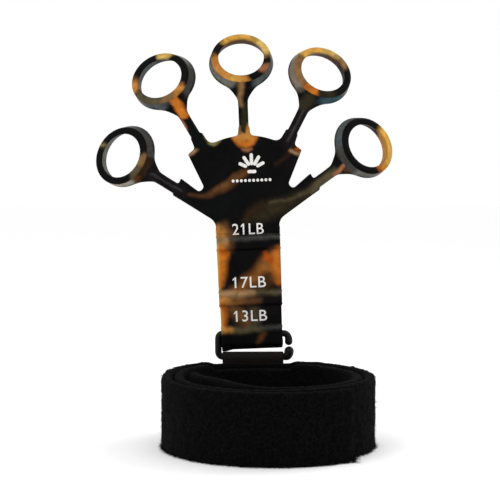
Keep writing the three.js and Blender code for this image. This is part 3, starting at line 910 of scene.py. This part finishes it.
# The inner end cuts the corner as a springy tongue, away from the turn around it.
TONGUE_START, TONGUE_END, TONGUE_INSET = -0.14, 0.13, 8.0
OUTER_TURN = 1.27
LOWER_BAR = Vector(JOINTS["buckle_swing"]["pos_m"]) / MM
UPPER_BAR = HAND_ORIGIN / MM
# How the strap's edges and ends are rounded, and how far its pile swells where it is pressed or free.
STRAP_CORNER, STRAP_END_ROUNDING = 1.7, 1.8
COARSE_SWELL, FREE_COARSE_SWELL, FINE_SWELL, FREE_FINE_SWELL = 0.16, 0.46, 0.1, 0.16


def strap_places(turns, offsets):
    """Where the wound strap is, in plan, after so many turns and so far outward from its middle."""
    turns, offsets = np.broadcast_arrays(np.asarray(turns, float), np.asarray(offsets, float))
    angle = np.radians(STRAP_START_ANGLE + 360 * turns)
    radius = STRAP_START_RADIUS + STRAP_PITCH * turns + offsets
    back_turn = np.round(turns - FIRST_BACK_TURN) + FIRST_BACK_TURN
    flat = STRAP_START_RADIUS + STRAP_PITCH * back_turn + offsets - STRAP_BACK_FLATTENING
    flat = flat / np.maximum(np.sin(angle), 0.5)
    pressed = -np.log(np.exp(-radius / FLAT_BLEND) + np.exp(-flat / FLAT_BLEND)) * FLAT_BLEND
    radius = np.where(np.sin(angle) > 0.5, pressed, radius)
    share = np.clip((turns - TONGUE_START) / (TONGUE_END - TONGUE_START), 0, 1)
    radius = radius - TONGUE_INSET * np.sin(math.pi * share) ** 1.3
    x = STRAP_CENTRE[0] + radius * np.cos(angle) * STRAP_WIDENING
    return x, STRAP_CENTRE[1] + radius * np.sin(angle)


def strip_section(low, high, height, corner, spacing, bottom=0.0):
    """Around a strip's cross-section: offset, height and the outward direction of each point."""
    section = []
    corners = [(high - corner, height - corner, 0), (low + corner, height - corner, 90),
               (low + corner, bottom + corner, 180), (high - corner, bottom + corner, 270)]
    for i, (a, b, start) in enumerate(corners):
        for turn in np.radians(start + np.array([0, 30, 60, 90])):
            cos, sin = math.cos(turn), math.sin(turn)
            section.append((a + corner * cos, b + corner * sin, cos, sin))
        next_a, next_b, next_start = corners[(i + 1) % 4]
        turn = math.radians(next_start)
        aim = np.array([next_a + corner * math.cos(turn), next_b + corner * math.sin(turn)])
        here = np.array(section[-1][:2])
        steps = max(1, int(np.linalg.norm(aim - here) / spacing))
        for k in range(1, steps):
            section.append((*(here + (aim - here) * k / steps), math.cos(turn), math.sin(turn)))
    return np.array(section)


def joining_faces(row, around):
    """Quads between two rings of points, which follow one another in a list from number row on."""
    return [(row + k, row + around + k, row + around + (k + 1) % around, row + (k + 1) % around)
            for k in range(around)]


def swept_faces(stations, around):
    faces = []
    for i in range(stations - 1):
        faces += joining_faces(i * around, around)
    faces.append(tuple(range(around)))
    faces.append(tuple(reversed(range((stations - 1) * around, stations * around))))
    return faces


def layer_lift(turns):
    """How far the strap's top is drawn up at the back, or its inner turn pressed down by the band."""
    angle = np.radians(STRAP_START_ANGLE + 360 * np.asarray(turns))
    drawn = smoothstep(-0.6, 0.5, np.sin(angle)) * (1.25 - 0.45 * np.cos(angle))
    drawn = drawn * smoothstep(0.3, 0.9, turns) + smoothstep(TONGUE_END + 0.1, TONGUE_END - 0.1, turns)
    x, y = strap_places(turns, 0)
    by_band = smoothstep(23, 18, np.abs(x - UPPER_BAR.x)) * smoothstep(0, 20, y)
    drawn = drawn * (1 - 0.9 * by_band) - 2.0 * by_band * smoothstep(1.1, 0.9, turns)
    ripple = [noise.noise(Vector((turn * 4.3, 7.7, 1.9))) for turn in np.ravel(turns)]
    return np.array(ripple).reshape(np.shape(turns)) * 0.7 + drawn


def under_tab(x, y):
    """Whether a place on the strap is pressed by the tab behind it, from 0 to 1."""
    return smoothstep(21, 17, np.abs(x - UPPER_BAR.x)) * smoothstep(28, 33, y)


def strap_mesh(start, end, low, high, round_start, round_end):
    """A length of the strap, from turn to turn and between two offsets, swollen and uneven on its outside."""
    spacing = 0.9
    section = strip_section(low, high, STRAP_HEIGHT, STRAP_CORNER, spacing)
    radius = STRAP_START_RADIUS + STRAP_PITCH * (start + end) / 2
    stations = int(abs(end - start) * 2 * math.pi * radius / spacing) + 1
    turns = np.linspace(start, end, stations)[:, None]
    travelled = (turns - start) * 2 * math.pi * radius
    left = (end - turns) * 2 * math.pi * radius
    pinch = np.ones_like(turns)
    for wanted, distance in ((round_start, travelled), (round_end, left)):
        if wanted:
            share = 1 - np.clip(distance / STRAP_END_ROUNDING, 0, 1)
            pinch = np.minimum(pinch, 0.5 + 0.5 * np.sqrt(1 - share ** 2))
    centre = (low + high) / 2
    offsets = centre + (section[None, :, 0] - centre) * pinch
    heights = STRAP_HEIGHT / 2 + (section[None, :, 1] - STRAP_HEIGHT / 2) * (1 - (1 - pinch) * 0.06)
    x, y = strap_places(turns, offsets)
    z = np.broadcast_to(heights, x.shape)
    flat = np.stack([x.ravel(), y.ravel(), z.ravel()], 1)
    outside = (turns > OUTER_TURN) & (section[None, :, 2] > 0.5)
    coarse, fine = noise_at(flat, 2.1, 11).reshape(x.shape), noise_at(flat, 0.9, 12).reshape(x.shape)
    free = np.where(outside, 1 - under_tab(x, y), 0)
    swell = coarse * (COARSE_SWELL + FREE_COARSE_SWELL * free) + fine * (FINE_SWELL + FREE_FINE_SWELL * free)
    offsets = offsets + swell * section[None, :, 2]
    lift = layer_lift(turns) * np.clip(heights / STRAP_HEIGHT, 0, 1)
    heights = np.maximum(heights + swell * section[None, :, 3] * 1.6 + lift, 0.05)
    x, y = strap_places(turns, offsets)
    vertices = np.stack([x, y, heights], 2).reshape(-1, 3) * MM
    return vertices, swept_faces(stations, len(section))


def fibre_mesh(roots, outward, lengths, thickness, rng):
    """Short curved fibres, each a closed sliver that tapers to a point."""
    count = len(roots)

    def unit(vectors):
        return vectors / np.maximum(np.linalg.norm(vectors, axis=1, keepdims=True), 1e-9)
    ahead = unit(outward + rng.normal(0, 0.5, (count, 3)))
    curl = rng.normal(0, 0.45, (count, 3))
    side = unit(np.cross(ahead, rng.normal(0, 1, (count, 3))))
    other = np.cross(ahead, side)
    reach = lengths[:, None]
    rings = []
    for share, width in ((-0.15, 1.0), (0.55, 0.7)):
        middle = roots + ahead * reach * share + curl * reach * share * abs(share)
        for k in range(3):
            turn = 2 * math.pi * k / 3
            rings.append(middle + (side * math.cos(turn) + other * math.sin(turn)) * thickness * width)
    rings.append(roots + ahead * reach + curl * reach)
    vertices = np.stack(rings, 1).reshape(-1, 3)
    vertices[:, 2] = np.maximum(vertices[:, 2], 0.03)
    faces = []
    for base in range(0, count * 7, 7):
        faces.append((base + 2, base + 1, base))
        for k in range(3):
            j = (k + 1) % 3
            faces.append((base + k, base + j, base + 3 + j, base + 3 + k))
            faces.append((base + 3 + k, base + 3 + j, base + 6))
    return vertices * MM, faces


def strap_fuzz(rng, zones):
    """Fibres over zones of the strap: turns from and to, offset, heights from and to, tilt, count, length."""
    roots, outward, lengths = [], [], []
    for start, end, offset, low, high, out, up, count, length in zones:
        count = int(count * (1.0))
        turns = rng.uniform(start, end, count)
        spread = rng.uniform(-1, 1, count) * (1.5 if abs(up) > 0.5 else 0.1)
        x, y = strap_places(turns, offset + spread)
        outer_x, outer_y = strap_places(turns, offset + spread + 1)
        z = rng.uniform(low, high, count)
        z = z + layer_lift(turns) * z / STRAP_HEIGHT
        reach = length * rng.uniform(0.45, 1.25, count)
        free = (under_tab(x, y) < 0.1) | (out <= 0)
        roots.append(np.stack([x, y, z], 1)[free])
        outward.append(np.stack([(outer_x - x) * out, (outer_y - y) * out, np.full(count, up)], 1)[free])
        lengths.append(reach[free])
    return np.concatenate(roots), np.concatenate(outward), np.concatenate(lengths)


def strap_part(name, mesh, zones, thickness, follow, rng):
    """A length of pile and the fuzz on it. follow(piece) says which bodies a piece moves with."""
    pile = new_object(name + "_pile", *mesh, pile_material())
    with editing(pile.data) as bm:
        flatten(face for face in bm.faces if len(face.verts) > 12)
    fibres = fibre_mesh(*strap_fuzz(rng, zones), thickness, rng)
    fuzz = new_object(name + "_fibres", *fibres, fibre_material())
    for piece in (pile, fuzz):
        follow(piece)
    return pile, fuzz


def make_strap():
    """The wound strap, and its free end."""
    rng = np.random.default_rng(20)
    top, half = STRAP_HEIGHT - 0.2, STRAP_HALF
    mesh = strap_mesh(TONGUE_START, STRAP_JOIN_TURN, -half, half, True, False)
    zones = [
        (OUTER_TURN, 2.19, half, 0.5, top, 1, 0, 6600, 1.0),
        (OUTER_TURN, 2.19, half, 0.2, 1.5, 0.8, -0.3, 2000, 1.8),
        (TONGUE_START, 0.95, -half, 0.5, top, -1, 0, 2200, 0.7),
        (TONGUE_START, 2.19, 0, top, top, 0, 1, 3600, 0.6),
    ]

    def follow_coil(piece):
        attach(piece, "wrist_strap")
    coil, coil_fuzz = strap_part("wrist_strap", mesh, zones, 0.07, follow_coil, rng)
    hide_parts("strap_coil")

    mesh = strap_mesh(STRAP_JOIN_TURN, FREE_END_TURN, FLAP_INNER_OFFSET, half, False, True)
    zones = [
        (STRAP_JOIN_TURN, FREE_END_TURN, half, 0.5, top, 1, 0, 700, 0.8),
        (STRAP_JOIN_TURN, FREE_END_TURN, half - 1, top, top, 0, 1, 180, 0.6),
        (STRAP_JOIN_TURN, FREE_END_TURN, half, 0.2, 1.5, 0.7, -0.3, 160, 1.3),
        (FREE_END_TURN - 0.001, FREE_END_TURN + 0.001, half - 1.2, 0.4, top, 0.5, 0, 220, 1.4),
        (FREE_END_TURN - 0.004, FREE_END_TURN + 0.002, half - 1.0, 0.3, 3.5, 0.8, -0.4, 170, 3.2),
    ]

    def follow_flap(piece):
        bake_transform(piece)
    flap, flap_fuzz = strap_part("strap_free_end", mesh, zones, 0.09, follow_flap, rng)
    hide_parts("strap_free_end")


# The hook tape's turns from and to, its heights, the offsets of its back, its face and its hooks' tips,
# and the length of one turn there.
HOOK_TURNS, HOOK_LOW, HOOK_HIGH = (2.213, 2.263), 3.5, 30.5
HOOK_BACK, HOOK_FACE, HOOK_TIP = -1.66, -2.3, -2.82
HOOK_CIRCLE = 2 * math.pi * 49.7


def make_hooks():
    """The hook tape under the free end: a thin base with rows of small mushroom hooks."""
    stations, sides = 24, 6
    start, end = HOOK_TURNS
    section = strip_section(HOOK_FACE, HOOK_BACK, HOOK_HIGH, 0.15, 1.0, bottom=HOOK_LOW)
    x, y = strap_places(np.linspace(start, end, stations)[:, None], section[None, :, 0])
    z = np.broadcast_to(section[None, :, 1], x.shape)
    vertices = np.stack([x, y, z], 2).reshape(-1, 3).tolist()
    faces = swept_faces(stations, len(section))
    pitch = 1.3
    step = pitch / HOOK_CIRCLE
    stem = [(HOOK_FACE + 0.1, 0.2), (HOOK_TIP + 0.22, 0.16), (HOOK_TIP + 0.16, 0.34), (HOOK_TIP, 0.24)]
    for row, turn in enumerate(np.arange(start + step / 2, end - step / 2, step)):
        for level in np.arange(HOOK_LOW + 0.8 + 0.5 * pitch * (row % 2), HOOK_HIGH - 0.6, pitch):
            base = len(vertices)
            for offset, width in stem:
                for k in range(sides):
                    angle = 2 * math.pi * k / sides
                    x, y = strap_places(turn + width * math.cos(angle) / HOOK_CIRCLE, offset)
                    vertices.append([float(x), float(y), float(level + width * math.sin(angle))])
            for ring in range(len(stem) - 1):
                for k in range(sides):
                    a, b = base + ring * sides + k, base + ring * sides + (k + 1) % sides
                    faces.append((a, b, b + sides, a + sides))
            faces.append(tuple(range(base + (len(stem) - 1) * sides, base + len(stem) * sides)))
    patch = new_object("hook_tape", np.array(vertices) * MM, faces, tape_material(), smooth=False)
    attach(patch, "strap_flap")
    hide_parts("hook_patch")


# The buckle's left and right uprights, across from the middle of the upper bar, and its bent corners.
ROD_RADIUS = 1.6
ROD_LEFT, ROD_RIGHT, ROD_CORNER = -17.0, 18.9, 3.0
LIP_RISE, HOOK_DROP = 3.0, 4.2


def make_buckle():
    """One bent rod: an open lip, the lower bar, the left upright, the upper bar and its down-turned hook."""
    low, high, inset = LOWER_BAR.z, UPPER_BAR.z, ROD_CORNER

    def place(x, z):
        return Vector((UPPER_BAR.x + x, UPPER_BAR.y, z))

    def bend(start, corner, end):
        return arc_points(place(*start), place(*corner), place(*end), 12)

    def bar(start, end, height):
        return [place(x, height) for x in np.linspace(start, end, 30)]
    path = bend((ROD_RIGHT, low + LIP_RISE), (ROD_RIGHT, low), (ROD_RIGHT - inset, low))
    path += bar(ROD_RIGHT - inset - 1, ROD_LEFT + inset + 1, low)
    path += bend((ROD_LEFT + inset, low), (ROD_LEFT, low), (ROD_LEFT, low + inset))
    path += bend((ROD_LEFT, high - inset), (ROD_LEFT, high), (ROD_LEFT + inset, high))
    path += bar(ROD_LEFT + inset + 1, ROD_RIGHT - inset - 1, high)
    path += bend((ROD_RIGHT - inset, high), (ROD_RIGHT, high), (ROD_RIGHT - 0.2, high - HOOK_DROP))
    # The lip swells towards the bar and the hook towards its tip.
    heights = np.array([p.z for p in path])
    across = np.array([p.x for p in path]) - UPPER_BAR.x
    lip = smoothstep(ROD_RIGHT - 3.4, ROD_RIGHT - 0.8, across) * (heights < (low + high) / 2)
    hook = smoothstep(high - 0.5, high - HOOK_DROP, heights) * (heights > (low + high) / 2) * (across > 0)
    radii = ROD_RADIUS + 0.7 * lip + 0.28 * hook
    vertices, faces = rod_mesh([p * MM for p in path], radii * MM, 28, 0.055)
    buckle = new_object("hook_buckle_rod", vertices, faces, plastic_material())
    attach(buckle, "buckle")
    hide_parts("hook_buckle")


# The tab's two legs stand a little before and behind the bar's middle and end below it, and its loop runs
# round the bar between two angles. Its left edge reaches further than in the frame.
TAB_LEG_SHIFT, TAB_HALF_THICKNESS, TAB_LOOP_RADIUS = 0.58, 0.4, 2.33
TAB_LOOP_ANGLES = (-38, 218)
TAB_LEG_TOP, TAB_SPREAD = 4.6, 0.7
TAB_STATION_SPACING = 0.35
TAB_RIB_HEIGHT, TAB_RIB_PITCH = 0.05, 1.1


def make_tab():
    """The folded webbing that holds the buckle: up, around the lower bar and down again, bar-tacked twice."""
    low, high = (Vector(corner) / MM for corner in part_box("webbing_tab"))
    bar_y, bar_z = LOWER_BAR.y, LOWER_BAR.z
    line = [(TAB_LEG_SHIFT, z) for z in np.linspace(low.z + 0.1, bar_z - TAB_LEG_TOP, 60)]
    for turn in np.radians(np.linspace(*TAB_LOOP_ANGLES, 40)):
        line.append((TAB_LOOP_RADIUS * math.cos(turn), bar_z + TAB_LOOP_RADIUS * math.sin(turn)))
    line += [(-TAB_LEG_SHIFT, z) for z in np.linspace(bar_z - TAB_LEG_TOP, low.z + 0.1, 60)]
    line = np.array(line)
    for _ in range(6):
        line[1:-1] = line[1:-1] * 0.5 + (line[:-2] + line[2:]) * 0.25
    travelled = np.append(0, np.cumsum(np.linalg.norm(np.diff(line, axis=0), axis=1)))
    stations = int(travelled[-1] / TAB_STATION_SPACING)
    spaced = np.linspace(0, travelled[-1], stations)
    line = np.stack([np.interp(spaced, travelled, line[:, i]) for i in (0, 1)], 1)
    ahead = np.gradient(line, axis=0)
    ahead /= np.linalg.norm(ahead, axis=1, keepdims=True)
    low.x -= TAB_SPREAD
    width = (high.x - low.x) / 2
    section = strip_section(-TAB_HALF_THICKNESS, TAB_HALF_THICKNESS, width, 0.36, 0.5, bottom=-width)
    rib = TAB_RIB_HEIGHT * np.sin(2 * math.pi * spaced / TAB_RIB_PITCH)[:, None]
    reach = section[None, :, 0] * (1 + rib / TAB_HALF_THICKNESS)
    y = bar_y + line[:, 0:1] + ahead[:, 1:2] * reach
    z = line[:, 1:2] - ahead[:, 0:1] * reach
    x = np.broadcast_to((low.x + high.x) / 2 + section[None, :, 1], y.shape)
    vertices = np.stack([x, y, z], 2).reshape(-1, 3) * MM
    tab = new_object("webbing_tab_weave", vertices, swept_faces(stations, len(section)), webbing_material())
    weave = np.stack([x, np.broadcast_to(spaced[:, None], x.shape), np.zeros_like(x)], 2)
    store_vectors(tab.data, "weave", weave * MM)
    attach(tab, "wrist_strap")
    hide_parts("webbing_tab")
    stitches = [make_bartack(name, bar_y + TAB_LEG_SHIFT + TAB_HALF_THICKNESS)
                for name in ("lower_bartack", "upper_bartack")]


STITCH_PITCH, THREAD_RADIUS = 0.34, 0.15


def make_bartack(name, face):
    """A dense zigzag of thread on the back of the tab, which arches over the webbing."""
    low, high = (Vector(corner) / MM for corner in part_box(name))
    inset, arched, sunk = 0.2, 0.14, 0.02
    count = int((high.x - low.x) / STITCH_PITCH)
    step = (high.x - low.x - 2 * inset) / (count - 1)
    rise = high.z - low.z - 2 * THREAD_RADIUS
    path = []
    for i in range(count):
        for share in (0.0, 0.33, 0.66):
            level = share if i % 2 else 1 - share
            arch = arched if share else sunk
            path.append(Vector((low.x + inset + step * (i + share), face + arch,
                                low.z + THREAD_RADIUS + rise * level)) * MM)
    piece = new_object(name + "_thread", *rod_mesh(path, THREAD_RADIUS * MM, 6), thread_material())
    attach(piece, "wrist_strap")
    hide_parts(name)
    return piece


# ---- printed marks

# How far the ink stands proud of the silicone, and how far its back sinks into it.
INK_THICKNESS, INK_DEPTH = 0.07, 0.12
MARK_HEIGHT, MARK_WIDTH = 5.6, 15.8


def front_face(across, up):
    """How far towards the front the moulding's face is at each place of the hand's frame."""
    y = np.full(len(across), -6.0)
    for _ in range(30):
        y += hand_distance(across, y, up) * 0.9
    return y


def print_on_hand(name, flat_points, faces, front):
    """Lays flat artwork, given across and up, on the moulding; points flagged as front stand proud of it."""
    across, up = (np.ascontiguousarray(c) for c in np.array(flat_points, float).T)
    y = front_face(across, up) + np.where(front, -INK_THICKNESS, INK_DEPTH)
    vertices = [hand_point(*p) for p in zip(across, y, up)]
    piece = new_object(name, vertices, faces, ink_material(), smooth=False)
    return piece


def weight_mark(text, middle, height):
    """A resistance mark, such as 13LB, centred at a place of the hand."""
    curve = bpy.data.curves.new(text, "FONT")
    curve.body = text
    curve.align_x = "CENTER"
    curve.offset = 0.004
    curve.extrude = 0.1
    curve.resolution_u = 5
    curve.space_character = 1.08
    writing = add_object(text, curve)
    shaped = writing.evaluated_get(bpy.context.evaluated_depsgraph_get())
    mesh = bpy.data.meshes.new_from_object(shaped)
    bpy.data.objects.remove(writing)
    with editing(mesh) as bm:
        bmesh.ops.remove_doubles(bm, verts=bm.verts, dist=1e-5)
        # Thin slices across the letters.
        for level in np.linspace(0.0, 0.8, 14):
            bmesh.ops.bisect_plane(bm, geom=bm.verts[:] + bm.edges[:] + bm.faces[:], plane_co=(0, level, 0),
                                   plane_no=(0, 1, 0), dist=1e-6)
    places = places_of(mesh)
    faces = [list(polygon.vertices) for polygon in mesh.polygons]
    low, high = places.min(0), places.max(0)
    flat = (places[:, :2] - (low[:2] + high[:2]) / 2) / (high[:2] - low[:2]) * (MARK_WIDTH, MARK_HEIGHT)
    front = places[:, 2] > 0
    flat, faces, front = add_flag(flat, faces, front, text.index("1"))
    return print_on_hand("mark_" + text.lower(), flat + (middle, height), faces, front)


def add_flag(flat, faces, front, place):
    """Gives the figure 1, which the font draws as a bar, its flag. place counts characters from the left."""
    group = np.arange(len(flat))
    for _ in range(60):
        before = group.copy()
        for face in faces:
            group[face] = group[face].min()
        if (group == before).all():
            break
    starts = sorted((flat[group == g, 0].min(), g) for g in np.unique(group))
    bar = flat[group == starts[place][1]]
    left, top = bar[:, 0].min(), bar[:, 1].max()
    shape = np.array([(0.1, 0), (-0.95, -1.15), (-0.95, -1.75), (0.1, -1.05)]) + (left, top)
    base = len(flat)
    faces = faces + [[base + k for k in (0, 1, 2, 3)], [base + k for k in (7, 6, 5, 4)]]
    faces += joining_faces(base, 4)
    return np.concatenate([flat, shape, shape]), faces, np.append(front, [True] * 4 + [False] * 4)


def pill(middle, height, half_length, half_width, lean, steps=8):
    """A bar with round ends, leaning by an angle from the vertical."""
    turn = math.radians(lean)
    points = []
    for k in range(2 * steps):
        end = 1 if k < steps else -1
        angle = math.pi * (k % steps) / (steps - 1) + (0 if end > 0 else math.pi)
        a = half_width * math.cos(angle)
        b = half_width * math.sin(angle) + end * (half_length - half_width)
        across = a * math.cos(turn) + b * math.sin(turn)
        up = b * math.cos(turn) - a * math.sin(turn)
        points.append((middle + across, height + up))
    return points


def make_emblem():
    """A plain emblem: five bars fanned like fingers over a palm bar, and a row of dots under it."""
    middle, height, spread = 3.1, 83.2, 4.9
    shapes = []
    for lean, reach in ((-64, 2.3), (-32, 2.8), (0, 3.0), (32, 2.8), (64, 2.3)):
        across, up = spread * math.sin(math.radians(lean)), spread * math.cos(math.radians(lean))
        shapes.append(pill(middle + across, height + up, reach, 0.85, lean))
    shapes.append(pill(middle, 81.9, 2.3, 0.85, 90))
    shapes += [pill(2.8 + 2.06 * i, 77.5, 0.76, 0.72, 0) for i in np.arange(-4.5, 5)]
    points, faces, front = [], [], []
    for shape in shapes:
        base, count = len(points), len(shape)
        points += shape + shape
        front += [True] * count + [False] * count
        faces.append(list(range(base, base + count)))
        faces.append(list(range(base + 2 * count - 1, base + count - 1, -1)))
        faces += joining_faces(base, count)
    return print_on_hand("emblem", points, faces, np.array(front))


def make_marks():
    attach(weight_mark("21LB", 0.04, 53.2), "palm")
    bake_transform(weight_mark("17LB", 0.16, 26.2))
    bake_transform(weight_mark("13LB", 0.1, 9.2))
    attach(make_emblem(), "palm")


# ---- stage, light and camera

def make_stage():
    graph = Graph("pale_floor")
    graph.set(Base_Color=shade(253, 253, 253), Roughness=0.9, Specular_IOR_Level=0.0)
    half = 3.0
    corners = [(-half, -half, 0), (half, -half, 0), (half, half, 0), (-half, half, 0)]
    floor = new_object("floor", corners, [(0, 1, 2, 3)], graph.material, smooth=False)


def area_light(name, place, target, size, power):
    data = bpy.data.lights.new(name, "AREA")
    data.shape = "RECTANGLE"
    data.size, data.size_y = size
    data.energy = power
    lamp = add_object(name, data)
    lamp.location = place
    lamp.rotation_euler = (Vector(target) - Vector(place)).to_track_quat("-Z", "Y").to_euler()


def make_light():
    world = bpy.data.worlds.new("studio")
    world.use_nodes = True
    background = world.node_tree.nodes["Background"]
    background.inputs[0].default_value = shade(255, 255, 255)
    background.inputs[1].default_value = 1.0
    bpy.context.scene.world = world
    bpy.context.scene.view_settings.view_transform = "Standard"
    area_light("key", (-0.5, -0.5, 0.8), (0, 0, 0.12), (0.5, 0.5), 2)
    area_light("rim", (0.6, 0.3, 0.6), (0, 0, 0.12), (0.4, 0.4), 2)


# The camera stands in front of the object and looks a little down.
CAMERA_FROM_HAND = (-16.9, -775.4, 93.6)
CAMERA_PITCH, CAMERA_YAW = -3.78, 1.18
CAMERA_LENS = 110.84


def make_camera():
    data = bpy.data.cameras.new("camera")
    data.sensor_width = 36.0
    data.lens = CAMERA_LENS
    data.clip_start, data.clip_end = 0.05, 20
    camera = add_object("camera", data)
    camera.location = HAND_ORIGIN + Vector(CAMERA_FROM_HAND) * MM
    pitch, yaw = math.radians(CAMERA_PITCH), math.radians(CAMERA_YAW)
    ahead = Vector((math.sin(yaw) * math.cos(pitch), math.cos(yaw) * math.cos(pitch), math.sin(pitch)))
    camera.rotation_euler = ahead.to_track_quat("-Z", "Y").to_euler()
    bpy.context.scene.camera = camera


# ---- putting it together

make_camera()
make_stage()
make_light()

skins = make_moulding()
for name, piece in skins.items():
    if name == "palm":
        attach(piece, "palm")
        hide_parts("palm_pad", "band_21lb")
        continue
    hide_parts(name)
    if name.endswith("_arm"):
        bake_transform(piece)
    elif name.endswith("_ring"):
        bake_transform(piece)
    elif name == "band_13lb":
        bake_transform(piece)
    elif name == "band_17lb":
        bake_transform(piece)

make_marks()
make_buckle()
make_strap()
make_hooks()
make_tab()
